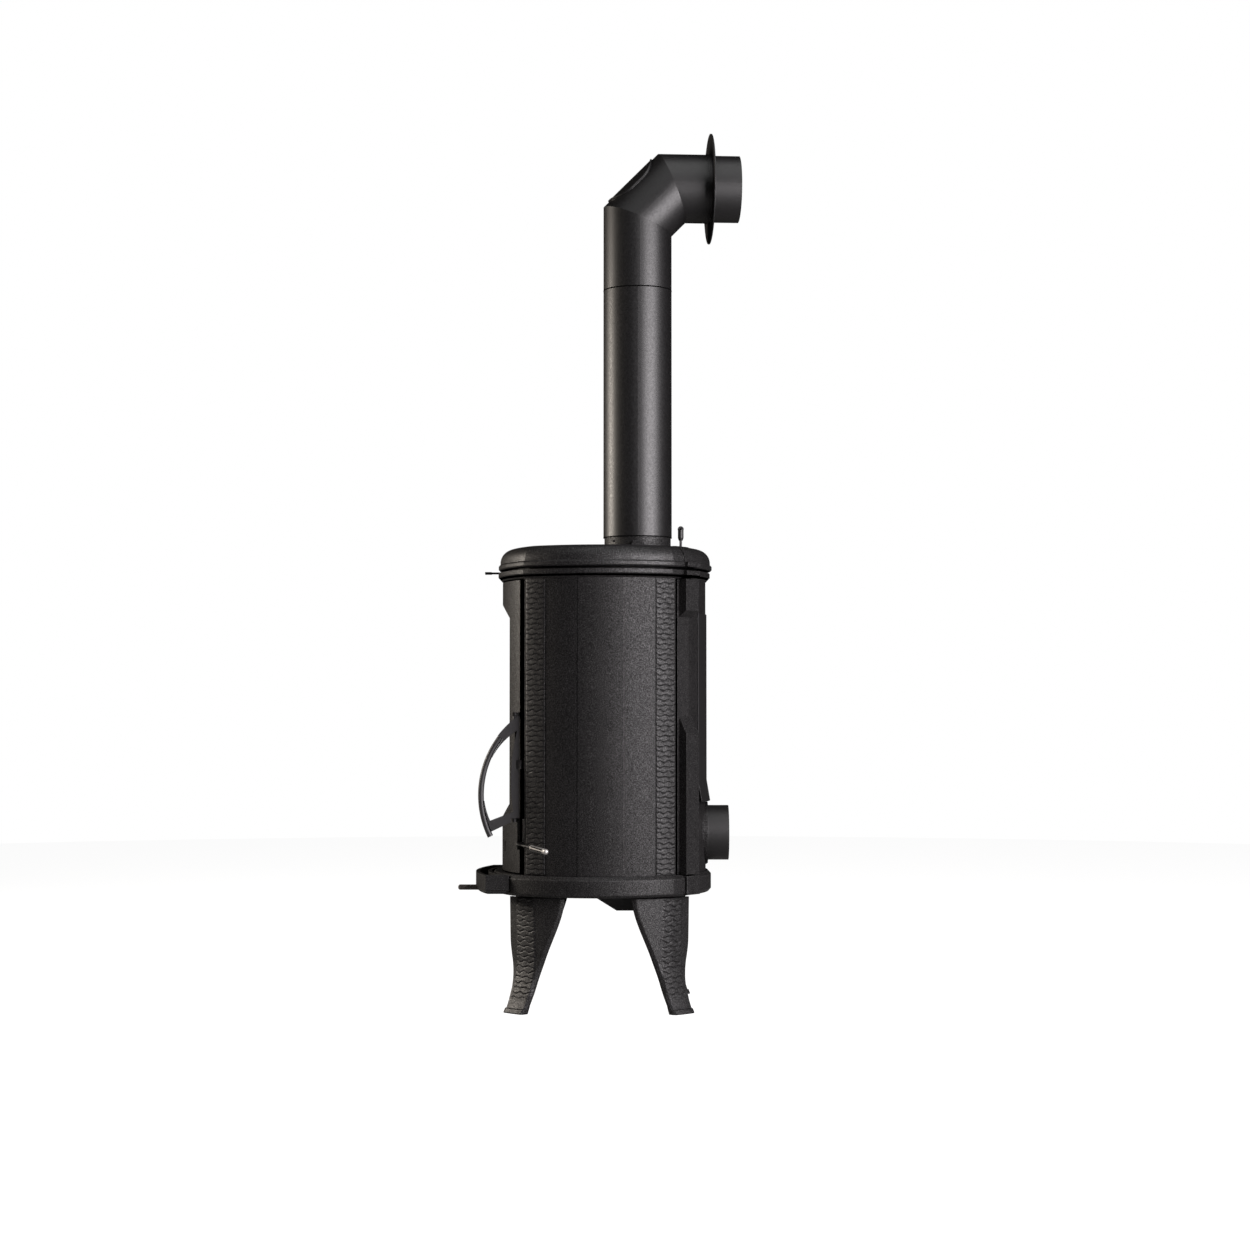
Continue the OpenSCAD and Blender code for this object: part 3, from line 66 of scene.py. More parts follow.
class Graph:
    """Builds the nodes of one material. Each method gives the socket that carries its result."""

    def __init__(self, name):
        self.mat = bpy.data.materials.new(name)
        self.mat.use_nodes = True
        self.tree = self.mat.node_tree
        self.tree.nodes.clear()
        out = self.add("ShaderNodeOutputMaterial")
        self.bsdf = self.add("ShaderNodeBsdfPrincipled")
        self.feed(self.bsdf.outputs["BSDF"], out.inputs["Surface"])
        self.place = self.add("ShaderNodeTexCoord").outputs["Object"]

    def add(self, kind, **values):
        node = self.tree.nodes.new(kind)
        for key, value in values.items():
            setattr(node, key, value)
        return node

    def feed(self, source, into):
        """Joins a socket to an input, or sets the input to a number or a colour."""
        if isinstance(source, bpy.types.NodeSocket):
            self.tree.links.new(source, into)
        elif isinstance(source, tuple):
            into.default_value = (*source, 1.0)
        else:
            into.default_value = source

    def shade(self, inputs):
        """Feeds the shader's inputs and gives the material."""
        for name, source in inputs.items():
            self.feed(source, self.bsdf.inputs[name])
        return self.mat

    def mapped(self, scale):
        m = self.add("ShaderNodeMapping")
        m.inputs["Scale"].default_value = scale
        self.feed(self.place, m.inputs["Vector"])
        return m.outputs["Vector"]

    def noise(self, scale, detail, rough, stretch=(1, 1, 1)):
        n = self.add("ShaderNodeTexNoise")
        n.inputs["Scale"].default_value = scale
        n.inputs["Detail"].default_value = detail
        n.inputs["Roughness"].default_value = rough
        self.feed(self.mapped(stretch), n.inputs["Vector"])
        return n.outputs["Fac"]

    def cells(self, scale):
        v = self.add("ShaderNodeTexVoronoi", feature="F1")
        v.inputs["Scale"].default_value = scale
        self.feed(self.place, v.inputs["Vector"])
        return v.outputs["Distance"]

    def wave(self, scale, distortion, stretch):
        w = self.add("ShaderNodeTexWave", wave_type="BANDS", bands_direction="DIAGONAL")
        w.inputs["Scale"].default_value = scale
        w.inputs["Distortion"].default_value = distortion
        self.feed(self.mapped(stretch), w.inputs["Vector"])
        return w.outputs["Fac"]

    def ramp(self, source, *stops):
        """Each stop is a place from 0 to 1 and a grey or a colour."""
        r = self.add("ShaderNodeValToRGB")
        while len(r.color_ramp.elements) < len(stops):
            r.color_ramp.elements.new(0.5)
        for e, (at, value) in zip(r.color_ramp.elements, stops):
            e.position = at
            e.color = (*(value if isinstance(value, tuple) else (value,) * 3), 1.0)
        self.feed(source, r.inputs["Fac"])
        return r.outputs["Color"]

    def math(self, op, a, b, clamp=False):
        m = self.add("ShaderNodeMath", operation=op, use_clamp=clamp)
        self.feed(a, m.inputs[0])
        self.feed(b, m.inputs[1])
        return m.outputs[0]

    def mix(self, fac, a, b, blend="MIX"):
        """Mixes two colours, which are the node's inputs 6 and 7 and its output 2."""
        m = self.add("ShaderNodeMix", data_type="RGBA", blend_type=blend)
        for at, source in ((0, fac), (6, a), (7, b)):
            self.feed(source, m.inputs[at])
        return m.outputs[2]

    def bump(self, height, distance, strength, normal=None):
        b = self.add("ShaderNodeBump")
        b.inputs["Distance"].default_value = distance
        b.inputs["Strength"].default_value = strength
        self.feed(height, b.inputs["Height"])
        if normal is not None:
            self.feed(normal, b.inputs["Normal"])
        return b.outputs["Normal"]

    def rounded(self, radius):
        """The surface's direction with its sharp edges rounded off."""
        n = self.add("ShaderNodeBevel", samples=4)
        n.inputs["Radius"].default_value = radius
        return n.outputs["Normal"]

    def edges(self, rounded):
        """1 on the sharp edges that the rounding turns, 0 elsewhere."""
        dot = self.add("ShaderNodeVectorMath", operation="DOT_PRODUCT")
        self.feed(rounded, dot.inputs[0])
        self.feed(self.add("ShaderNodeNewGeometry").outputs["Normal"], dot.inputs[1])
        return self.ramp(dot.outputs["Value"], (0.86, 1.0), (0.995, 0.0))

    def open_air(self, distance, low, high):
        """0 deep in a crevice, 1 where nothing stands near the surface."""
        n = self.add("ShaderNodeAmbientOcclusion", samples=6)
        n.inputs["Distance"].default_value = distance
        return self.ramp(n.outputs["AO"], (low, 0.03), (high, 1.0))

    def outside(self, box):
        """0 within a box given by its lowest and highest corners, 1 outside it."""
        split = self.add("ShaderNodeSeparateXYZ")
        self.feed(self.place, split.inputs["Vector"])
        inside = None
        for i in range(3):
            for op, edge in (("GREATER_THAN", box[0][i]), ("LESS_THAN", box[1][i])):
                test = self.math(op, split.outputs[i], edge)
                inside = test if inside is None else self.math("MULTIPLY", inside, test)
        return self.math("SUBTRACT", 1.0, inside)


def cast_iron(name, colour, rough, grain=1.0, edge=0.0012, edge_wear_and_highlight=0.35, painted_shade_box=None,
              crevice=(0.014, 0.25, 0.62), shine=1.0):
    """Painted sand-cast iron: grain, pits, blotches, worn edges that are also lightened as a
    painted highlight, and painted shade in crevices and in a given box.
    """
    g = Graph(name)
    blotch = g.noise(9.0, 5.0, 0.6)
    fine = g.noise(520.0, 2.0, 0.7)
    mid = g.noise(150.0, 3.0, 0.5)
    low = g.noise(26.0, 2.0, 0.5)

    # the paint's tone, speckled by the grain
    dark = tuple(c * 0.82 for c in colour)
    light = tuple(min(1.0, c * 1.22) for c in colour)
    tone = g.ramp(blotch, (0.35, dark), (0.65, light))
    speck = g.ramp(fine, (0.36, 0.55), (0.52, 0.95), (0.66, 1.9))
    base = g.mix(0.8, tone, speck, "MULTIPLY")

    # edges lightened: partly worn by hands and tools, partly a painted highlight where an edge
    # catches the light
    rounded = g.rounded(edge)
    worn_and_lit_edges = g.math("MULTIPLY", g.math("MULTIPLY", g.edges(rounded), edge_wear_and_highlight), speck, clamp=True)
    base = g.mix(worn_and_lit_edges, base, tuple(min(1.0, c * 3.2 + 0.02) for c in colour))

    # painted shade: ambient occlusion in crevices, and the given box, darken the paint and its
    # sheen
    clear = g.open_air(*crevice)
    if painted_shade_box:
        clear = g.math("MULTIPLY", clear, g.outside(painted_shade_box))
    base = g.mix(1.0, base, clear, "MULTIPLY")
    gloss = g.ramp(fine, (0.36, 0.09 * shine), (0.52, 0.29 * shine), (0.68, 0.85 * shine))
    g.bsdf.inputs["Specular IOR Level"].default_value = 0.30

    # the skin: waves of the mould, sand grain, and pits in some places only
    pit = g.math("SUBTRACT", 1.0, g.ramp(g.cells(115.0), (0.035, 0.0), (0.10, 1.0)))
    pit = g.math("MULTIPLY", pit, g.ramp(low, (0.52, 0.0), (0.60, 1.0)))
    skin = g.bump(low, 0.0012, 0.3, rounded)
    skin = g.bump(mid, 0.00012 * grain, 0.8, skin)
    skin = g.bump(fine, 0.00024 * grain, 1.0, skin)
    skin = g.bump(g.math("MULTIPLY", pit, -1.0), 0.0006, 1.0, skin)
    return g.shade({
        "Base Color": base,
        "Roughness": g.ramp(mid, (0.3, rough - 0.06), (0.7, rough + 0.08)),
        "Specular IOR Level": g.math("MULTIPLY", gloss, clear),
        "Normal": skin,
    })


def painted(name, colour, rough, grain=0.5, shine=0.5):
    """Satin stove paint on sheet metal: an orange-peel skin and a fine tooth."""
    g = Graph(name)
    peel = g.noise(210.0, 2.0, 0.5)
    tooth = g.noise(900.0, 1.0, 0.5)
    blotch = g.noise(7.0, 4.0, 0.55)
    dark, light = (tuple(c * by for c in colour) for by in (0.9, 1.12))
    tone = g.ramp(blotch, (0.3, dark), (0.7, light))
    speck = g.ramp(tooth, (0.25, 0.86), (0.75, 1.12))
    skin = g.bump(peel, 0.00018 * grain, 0.8, g.rounded(0.0008))
    return g.shade({
        "Base Color": g.mix(0.5, tone, speck, "MULTIPLY"),
        "Roughness": g.ramp(peel, (0.3, rough - 0.04), (0.7, rough + 0.06)),
        "Specular IOR Level": shine,
        "Normal": g.bump(tooth, 0.00008 * grain, 0.8, skin),
    })


def bright_steel(name, rough, along=(1, 1, 1)):
    """Bare steel: fine scratches, along one way where it is stretched, and a little tarnish."""
    g = Graph(name)
    lines = g.noise(60.0, 4.0, 0.7, along)
    stain = g.noise(70.0, 3.0, 0.6)
    return g.shade({
        "Base Color": g.ramp(stain, (0.3, (0.44, 0.42, 0.40)), (0.7, (0.66, 0.65, 0.63))),
        "Metallic": 1.0,
        "Roughness": g.ramp(lines, (0.3, rough - 0.05), (0.7, rough + 0.14)),
        "Normal": g.bump(lines, 0.00005, 0.6, g.rounded(0.0005)),
    })


def firebrick(name):
    """Pressed vermiculite board: pale, flecked, soft-edged, with smoke stains."""
    g = Graph(name)
    tone = g.ramp(g.cells(230.0), (0.1, (0.60, 0.50, 0.36)), (0.6, (0.74, 0.66, 0.52)))
    smoke = g.ramp(g.noise(5.0, 5.0, 0.6, (1, 1, 0.6)), (0.42, 0.32), (0.70, 1.0))
    return g.shade({
        "Base Color": g.mix(0.75, tone, smoke, "MULTIPLY"),
        "Roughness": 0.92,
        "Normal": g.bump(g.noise(260.0, 3.0, 0.7), 0.0005, 0.8, g.rounded(0.0015)),
    })


def rope(name):
    """Braided glass-fibre rope: crossing strands from two waves."""
    g = Graph(name)
    strands = g.math("MAXIMUM", g.wave(160.0, 1.5, (1, 1, 1)), g.wave(160.0, 1.5, (-1, 1, 1)))
    return g.shade({
        "Base Color": g.ramp(strands, (0.2, (0.30, 0.29, 0.27)), (0.9, (0.66, 0.65, 0.61))),
        "Roughness": 0.9,
        "Normal": g.bump(strands, 0.0008, 0.9),
    })


def stove_glass(name):
    """Clear heat-proof glass with a faint haze."""
    g = Graph(name)
    return g.shade({
        "Base Color": (0.80, 0.78, 0.74),
        "Roughness": g.ramp(g.noise(14.0, 3.0, 0.5), (0.35, 0.02), (0.75, 0.09)),
        "Transmission Weight": 1.0,
        "IOR": 1.47,
    })


IRON_COLOUR, LIT_IRON_COLOUR = (0.0064, 0.0060, 0.0061), (0.0070, 0.0066, 0.0068)
# How strongly ambient occlusion darkens the grooves of the cast relief, as painted shade
RELIEF_GROOVE_PAINTED_SHADE = (0.004, 0.35, 0.78)
# Boxes painted in shade: the gap beside the door's edge, and the hollow under the top ring
DOOR_GAP_PAINTED_SHADE = ((0.14, -0.1805, BASE_Z), (0.18, -0.12, PANEL_Z))
RING_HOLLOW_PAINTED_SHADE = ((-0.4, -0.4, PANEL_Z + 0.0030), (0.4, 0.4, PANEL_Z + 0.0078))

IRON = cast_iron("cast_iron_painted", IRON_COLOUR, 0.52)
# Lit and shaded copies of the same iron, as painted light: the top plate and the legs take
# LIT_IRON_COLOUR and more sheen, the side panels less sheen
IRON_SIDE_SHADED_COPY = cast_iron("cast_iron_side_shaded_copy", IRON_COLOUR, 0.53, shine=0.84)
IRON_TOP_LIT_COPY = cast_iron("cast_iron_top_lit_copy", LIT_IRON_COLOUR, 0.50, shine=1.25)
IRON_LEG_LIT_COPY = cast_iron("cast_iron_leg_lit_copy", LIT_IRON_COLOUR, 0.50, shine=1.25, crevice=RELIEF_GROOVE_PAINTED_SHADE)
IRON_RING = cast_iron("cast_iron_ring_painted_shade", IRON_COLOUR, 0.52, painted_shade_box=RING_HOLLOW_PAINTED_SHADE)
IRON_RELIEF = cast_iron("cast_iron_relief_groove_shade", IRON_COLOUR, 0.50, crevice=RELIEF_GROOVE_PAINTED_SHADE)
IRON_DOOR = cast_iron("cast_iron_door_painted_shade", (0.0068, 0.0062, 0.0060), 0.50, painted_shade_box=DOOR_GAP_PAINTED_SHADE)
# The base plate's edges are lightened more, partly as worn edges, partly as a painted highlight on
# its chamfer
IRON_BASE = cast_iron("cast_iron_base_edge_highlight", (0.0066, 0.0062, 0.0063), 0.50, edge=0.0045, edge_wear_and_highlight=0.6)
# A lighter iron, a painted highlight for the thin line over each side's rear groove
IRON_PAINTED_HIGHLIGHT = cast_iron("cast_iron_painted_highlight", (0.030, 0.028, 0.029), 0.52)
FIRE_IRON = cast_iron("cast_iron_bare", (0.060, 0.052, 0.046), 0.62, grain=1.4)
PAINT = painted("stove_paint", (0.0062, 0.0059, 0.0060), 0.48)
PIPE = painted("flue_paint", (0.0040, 0.0037, 0.0039), 0.43, grain=0.35)
HANDLE = painted("handle_paint", (0.0130, 0.0122, 0.0132), 0.52, grain=0.6, shine=0.62)
# A flat black laid as painted shade in gaps, grooves, flutes and a hole
SHADOW = painted("painted_shade_black", (0.0020, 0.0020, 0.0020), 0.9, grain=0.2, shine=0.03)
STEEL = bright_steel("ground_steel", 0.26, along=(40, 40, 1))
PLATED = bright_steel("plated_steel", 0.34)
GRIP = bright_steel("grip_steel", 0.46)

SLOT_LOOKS = {
    "cast_iron": IRON,
    "fire_iron": FIRE_IRON,
    "painted_steel": PAINT,
    "painted_handle": HANDLE,
    "bright_steel": STEEL,
    "firebrick": firebrick("fire_board"),
    "glass": stove_glass("stove_glass"),
    "rope": rope("seal_rope"),
}
NODE_LOOKS = {
    "flue_pipe": PIPE,
    "flue_elbow": PIPE,
    "hatch_cover": PIPE,
    "wall_rosette": PIPE,
    "flue_collar": IRON,
    "door": IRON_DOOR,
    "top_ring": IRON_RING,
    "top_plate": IRON_TOP_LIT_COPY,
    "side_panel_right": IRON_SIDE_SHADED_COPY,
    "side_panel_left": IRON_SIDE_SHADED_COPY,
    "base_plate": IRON_BASE,
    "lever_grip": GRIP,
    "leg_bolts": PLATED,
    "tie_rod_nuts": PLATED,
    "collar_bolts": PLATED,
    "damper_pull": HANDLE,
    "handle_pins": HANDLE,
}
slot_of = {s["node"]: s["material_slot"] for s in frame["record"]["subparts"]}
for node_name, obj in NODES.items():
    obj.data.materials.clear()
    obj.data.materials.append(NODE_LOOKS.get(node_name, SLOT_LOOKS[slot_of[node_name]]))

# ---------------------------------------------------------------- mesh helpers


def placed(mesh, body, mat, angle=35.0):
    """A piece of one body, smooth apart from the edges sharper than an angle."""
    obj = bpy.data.objects.new(mesh.name, mesh)
    bpy.context.scene.collection.objects.link(obj)
    mesh.materials.clear()
    mesh.materials.append(mat)
    mesh.shade_smooth()
    mesh.set_sharp_from_angle(angle=math.radians(angle))
    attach(obj, body)
    return obj


def mesh_from(bm, name):
    """A mesh from a bmesh, which is freed."""
    mesh = bpy.data.meshes.new(name)
    bm.to_mesh(mesh)
    bm.free()
    return mesh


def faced(name, verts, faces, body, mat, angle=35.0):
    """A piece from its corners and faces, with every face turned outwards."""
    mesh = bpy.data.meshes.new(name)
    mesh.from_pydata(verts, [], faces)
    mesh.validate()
    bm = bmesh.new()
    bm.from_mesh(mesh)
    bmesh.ops.recalc_face_normals(bm, faces=bm.faces)
    bm.to_mesh(mesh)
    bm.free()
    return placed(mesh, body, mat, angle)


def slab(name, nu, nv, top, under, mat, angle=50.0):
    """A closed iron slab between two sheets given as functions of (u, v) in 0..1."""
    places = [(i / nu, j / nv) for j in range(nv + 1) for i in range(nu + 1)]
    verts = [sheet(*place) for sheet in (top, under) for place in places]
    faces = []

    def at(sheet, i, j):
        return (sheet * (nv + 1) + j) * (nu + 1) + i

    for j in range(nv):
        for i in range(nu):
            faces.append((at(0, i, j), at(0, i + 1, j), at(0, i + 1, j + 1), at(0, i, j + 1)))
            faces.append((at(1, i, j), at(1, i, j + 1), at(1, i + 1, j + 1), at(1, i + 1, j)))
    for i in range(nu):
        faces.append((at(0, i, 0), at(1, i, 0), at(1, i + 1, 0), at(0, i + 1, 0)))
        faces.append((at(0, i, nv), at(0, i + 1, nv), at(1, i + 1, nv), at(1, i, nv)))
    for j in range(nv):
        faces.append((at(0, 0, j), at(0, 0, j + 1), at(1, 0, j + 1), at(1, 0, j)))
        faces.append((at(0, nu, j), at(1, nu, j), at(1, nu, j + 1), at(0, nu, j + 1)))
    return faced(name, verts, faces, "stove", mat, angle)


# ---------------------------------------------------------------- cast relief of the sides

# Rows of low scales: their pitch, the groove between two rows, and how far the land stands out
PITCH = 0.0113
GROOVE_HALF, GROOVE_DEPTH, LAND = 0.0017, 0.0020, 0.0020
# A strip has two waves across it; every second row is shifted by an angle and is flatter
WAVES, ODD_TURN, ODD_SWAY = 2.0, 2.4, 0.7
# How far a row strays from its wave, and how shallow its groove gets in places
STRAY, SHALLOWEST = 0.0011, 0.25
# Height of the waves on the sides and on the legs, and where the legs' waves begin
SIDE_SWAY, LEG_SWAY, LEG_PHASE = 0.0021, 0.0024, 1.1


def wave_lines(across, up, sway, phase):
    """How deep the groove is at a point, 0 to 1, and how far down its scale the point lies."""
    row = math.floor(up / PITCH)
    deep, above, below = 0.0, up + 2 * PITCH, up - 2 * PITCH
    for k in (row - 1, row, row + 1, row + 2):
        even = k % 2 == 0
        turn, size = (0.0, sway) if even else (ODD_TURN, sway * ODD_SWAY)
        stray = STRAY * noise.noise(Vector((across * 3.0, k * 1.7, phase)))
        line = k * PITCH + size * math.sin(2 * math.pi * WAVES * across + turn + phase) + stray
        keep = 0.85 + 0.9 * noise.noise(Vector((across * 4.0, k * 2.3, 4.0 + phase)))
        keep = min(1.0, max(SHALLOWEST, keep))
        deep = max(deep, keep * (1.0 - min(1.0, abs(up - line) / GROOVE_HALF)))
        if line > up:
            above = min(above, line)
        else:
            below = max(below, line)
    return deep, (above - up) / (above - below)


def strip_lift(across, up, sway, phase, edge):
    """Height of a cast strip over its plate: the scales stand out towards their lower edge."""
    deep, down = wave_lines(across, up, sway, phase)
    return edge * max(-0.0003, LAND * (0.45 + 0.55 * down) - GROOVE_DEPTH * deep)


def side_point(sx, angle, lift, z):
    """A point over the face of a side panel."""
    r = SIDE_R + lift
    return (sx * (SIDE_C + r * math.cos(angle)), r * math.sin(angle), z)


def side_strip(name, sx, a0, a1):
    """A strip of cast relief on a side panel, between two angles about the panel's centre."""
    z0, tall = BASE_Z + 0.003, PANEL_Z - BASE_Z - 0.006
    width = SIDE_R * abs(a1 - a0)
    nu, step = ((34, 0.0009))

    def top(u, v):
        edge = min(1.0, 0.4 + min(u, 1 - u) * width / 0.0045)
        lift = 0.0001 + strip_lift(u, tall * v, SIDE_SWAY, 0.0, edge)
        return side_point(sx, a0 + (a1 - a0) * u, lift, z0 + tall * v)

    def under(u, v):
        return side_point(sx, a0 + (a1 - a0) * u, -0.0006, z0 + tall * v)

    slab(name, nu, int(tall / step), top, under, IRON_RELIEF, 60.0)


def seam(name, sx, y, half, mat):
    """A thin upright line on a side panel, over the groove between two of its faces."""
    a0, a1 = math.asin((y - half) / SIDE_R), math.asin((y + half) / SIDE_R)
    z0, tall = BASE_Z + 0.001, PANEL_Z - BASE_Z - 0.002

    def sheet(lift):
        return lambda u, v: side_point(sx, a0 + (a1 - a0) * u, lift, z0 + tall * v)

    slab(name, 1, 4, sheet(0.0002), sheet(-0.0008), mat)


for sx, side in SIDES:
    for sy, end in ENDS:
        a0 = sy * (math.asin(STRIP_FROM_Y / SIDE_R) + 0.0045)
        a1 = sy * (math.asin(STRIP_TO_Y / SIDE_R) - 0.0035)
        side_strip(f"relief_{side}_{end}", sx, a0, a1)

# Over each side's front groove a line of painted shade, over its rear groove a line of painted
# highlight
for sx, side in SIDES:
    seam(f"seam_{side}_front", sx, -GROOVE_Y, 0.0008, SHADOW)
    seam(f"seam_{side}_rear", sx, GROOVE_Y, 0.0007, IRON_PAINTED_HIGHLIGHT)

# ---------------------------------------------------------------- legs

# Thickness, height of the sole, gap under the base, the fold's place across, inner edge's chamfer
LEG_T, SOLE, LEG_GAP, LEG_FOLD, LEG_CHAMFER = 0.009, 0.010, 0.0045, -0.033, 0.005
# The rows of scales: their edges across the leg, and where they begin above the floor
SCALES_FROM, SCALES_TO, SCALES_Z = LEG_FOLD + 0.001, 0.025, 0.030


def eased(t):
    """A smooth step from 0 to 1."""
    t = min(1.0, max(0.0, t))
    return t * t * (3 - 2 * t)


def leg_r(z):
    """Radius of a leg's face about the stove's axis: the foot flares out below the knee."""
    upper = 3 * max(0.0, (z - KNEE_Z) / (LEG_H - KNEE_Z))
    return (242 + upper + 32 * max(0.0, 1 - z / KNEE_Z) ** 1.7) / 1000.0


def leg_outer(z):
    """How far a leg's outer edge stands from its middle line."""
    h = z * 1000
    return (33 + 19 * eased((h - 50) / 115) + 6 * max(0.0, 1 - h / 45) ** 2) / 1000.0


def leg_inner(z):
    """The same of its inner edge, which lies the other way and so is below 0."""
    h = z * 1000
    return -(26 + 0.13 * h + 38 * eased((h - 65) / 180)) / 1000.0


def leg(sx, sy, name, centre):
    """A cast leg: a curved plate that sweeps out to its foot, with a fold and rows of scales."""
    nu, step = ((84, 0.0011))
    top_z = LEG_H - LEG_GAP
    a0 = math.radians(centre)
    # the chamfer takes the first four columns
    chamfered = 4 / nu

    def across(u, z):
        rest = leg_outer(z) - leg_inner(z) - LEG_CHAMFER
        if u < chamfered:
            return leg_inner(z) + LEG_CHAMFER * u / chamfered
        return leg_inner(z) + LEG_CHAMFER + rest * (u - chamfered) / (1 - chamfered)

    def point(u, z, r):
        a = a0 + math.asin(max(-1.0, min(1.0, across(u, z) / r)))
        return (sx * r * math.cos(a), sy * r * math.sin(a), z)

    def top(u, v):
        z = top_z * v
        w = across(u, z)
        r = leg_r(z) + (0.004 if z < SOLE else 0.0)
        # the outer corner is rounded, most of all at the foot
        corner = 0.0022 + 0.007 * max(0.0, 1 - z / 0.035)
        rim = max(0.0, 1.0 - (leg_outer(z) - w) / corner)
        r -= corner * (1 - math.sqrt(max(0.0, 1 - rim * rim)))
        r -= max(0.0, LEG_CHAMFER - (w - leg_inner(z)))
        if z < 0.002:
            r -= 0.0015 * (1 - z / 0.002)
        r -= max(0.0, LEG_FOLD - w) * 0.10
        if SCALES_FROM < w < SCALES_TO and SCALES_Z < z:
            edge = min(1.0, (w - SCALES_FROM) / 0.0015, (SCALES_TO - w) / 0.0015,
                       (z - SCALES_Z) / 0.012, (top_z - z) / 0.004)
            part = (w - SCALES_FROM) / (SCALES_TO - SCALES_FROM)
            r += strip_lift(part, z, LEG_SWAY, LEG_PHASE, max(0.0, edge))
        return point(u, z, r)

    def under(u, v):
        z = top_z * v
        sole = 0.004 * max(0.0, 1 - z / 0.02)
        return point(u, z, leg_r(z) - LEG_T - sole - 0.003 * max(0.0, 1 - u / chamfered))

    piece = slab(name + "_casting", nu, int(top_z / step), top, under, IRON_LEG_LIT_COPY, 40.0)
    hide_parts(name)


def leg_pad(sx, sy, name, centre):
    """The bolting pad behind a leg's top edge."""
    length, width, thick, middle_r = 0.050, 0.046, 0.008, 0.212
    bm = bmesh.new()
    bmesh.ops.create_cube(bm, size=1.0)
    bmesh.ops.scale(bm, vec=(length, width, thick), verts=bm.verts)
    bmesh.ops.bevel(bm, geom=bm.edges[:], offset=0.0015, segments=2, affect="EDGES")
    bmesh.ops.translate(bm, vec=(middle_r, 0, LEG_H - LEG_GAP - thick / 2), verts=bm.verts)
    turned = Matrix.Rotation(math.radians(centre), 3, "Z")
    bmesh.ops.rotate(bm, cent=(0, 0, 0), matrix=turned, verts=bm.verts)
    bmesh.ops.scale(bm, vec=(sx, sy, 1), verts=bm.verts)
    bmesh.ops.recalc_face_normals(bm, faces=bm.faces)
    placed(mesh_from(bm, name + "_pad"), "stove", IRON)


for sx, side in SIDES:
    for sy, end in ENDS:
        turn = LEG_ANGLE - 1.3 * sy
        leg(sx, sy, f"leg_{end}_{side}", turn)
        leg_pad(sx, sy, f"leg_{end}_{side}", turn)

# ---------------------------------------------------------------- small parts


def band(name, z0, z1):
    """A thin dark band round the upright flue, painted shade in the gap at a joint."""
    segments, inner, outer = 96, FLUE_R - 0.001, FLUE_R + 0.0004
    verts, faces = [], []
    for r, z in ((inner, z0), (outer, z0), (outer, z1), (inner, z1)):
        for i in range(segments):
            a = 2 * math.pi * i / segments
            verts.append((r * math.cos(a), FLUE_Y + r * math.sin(a), z))
    for k in range(4):
        n = (k + 1) % 4
        for i in range(segments):
            j = (i + 1) % segments
            faces.append((k * segments + i, k * segments + j, n * segments + j, n * segments + i))
    faced(name, verts, faces, "stove", SHADOW)


def tube(name, points, radius, body, mat):
    """A bent round rod through a few points."""
    curve = bpy.data.curves.new(name, "CURVE")
    curve.dimensions = "3D"
    curve.bevel_depth = radius
    curve.bevel_resolution = 3
    curve.use_fill_caps = True
    spline = curve.splines.new("BEZIER")
    spline.bezier_points.add(len(points) - 1)
    for bp, p in zip(spline.bezier_points, points):
        bp.co = p
        bp.handle_left_type = bp.handle_right_type = "AUTO"
    obj = bpy.data.objects.new(name, curve)
    bpy.context.scene.collection.objects.link(obj)
    mesh = bpy.data.meshes.new_from_object(obj)
    mesh.name = name
    bpy.data.objects.remove(obj)
    bpy.data.curves.remove(curve)
    placed(mesh, body, mat)


def dome_screw(name, at, out, radius):
    """A small round-headed screw with a slot, standing out along a level direction."""
    bm = bmesh.new()
    bmesh.ops.create_uvsphere(bm, u_segments=20, v_segments=12, radius=radius)
    for v in bm.verts:
        v.co.z = max(-0.15 * radius, v.co.z * 0.62)
        if abs(v.co.y) < radius * 0.16 and v.co.z > 0:
            v.co.z *= 0.55
    turn = Vector((0, 0, 1)).rotation_difference(Vector(out))
    bmesh.ops.rotate(bm, cent=(0, 0, 0), matrix=turn.to_matrix(), verts=bm.verts)
    bmesh.ops.translate(bm, vec=at, verts=bm.verts)
    placed(mesh_from(bm, name), "stove", IRON)


band("pipe_joint_painted_shade", JOINT_Z - 0.0026, JOINT_Z - 0.0002)
band("collar_joint_painted_shade", COLLAR_Z + 0.0002, COLLAR_Z + 0.0022)

# The damper's rod bends in to the collar under its knob
lo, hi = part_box("damper_pull")
pull_y = (lo[1] + hi[1]) / 2
crank = ((pull_y, 0.022), (pull_y, 0.013), (pull_y - 0.004, 0.0075), (pull_y - 0.012, 0.0065),
         (FLUE_Y + 0.0815, 0.0065))
tube("pull_crank", [(0, y, TOP_Z + up) for y, up in crank], 0.0026, "damper_lifter", HANDLE)

# Two flutes along the lever's grip, from the middle of its first face to the middle of its ball,
# drawn as black rods of painted shade
lo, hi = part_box("lever_grip")
ball_r, flute_at = 0.0065, 0.0056
ball = Vector((hi[0] - ball_r, hi[1] - ball_r, lo[2] + ball_r))
root = Vector((lo[0] + 0.0043, lo[1] + 0.0044, hi[2] - 0.0059))
axis = (ball - root).normalized()
level = axis.cross(Vector((0, 0, 1))).normalized()
upward = level.cross(axis).normalized()
for i, turn in enumerate((-22, 28)):
    a = math.radians(turn)
    out = (level * math.cos(a) + upward * math.sin(a)).normalized()
    p0, p1 = root + axis * 0.002 + out * flute_at, ball - axis * 0.0075 + out * flute_at
    tube(f"grip_flute_painted_shade_{i}", [p0, (p0 + p1) / 2, p1], 0.0016, "air_lever", SHADOW)

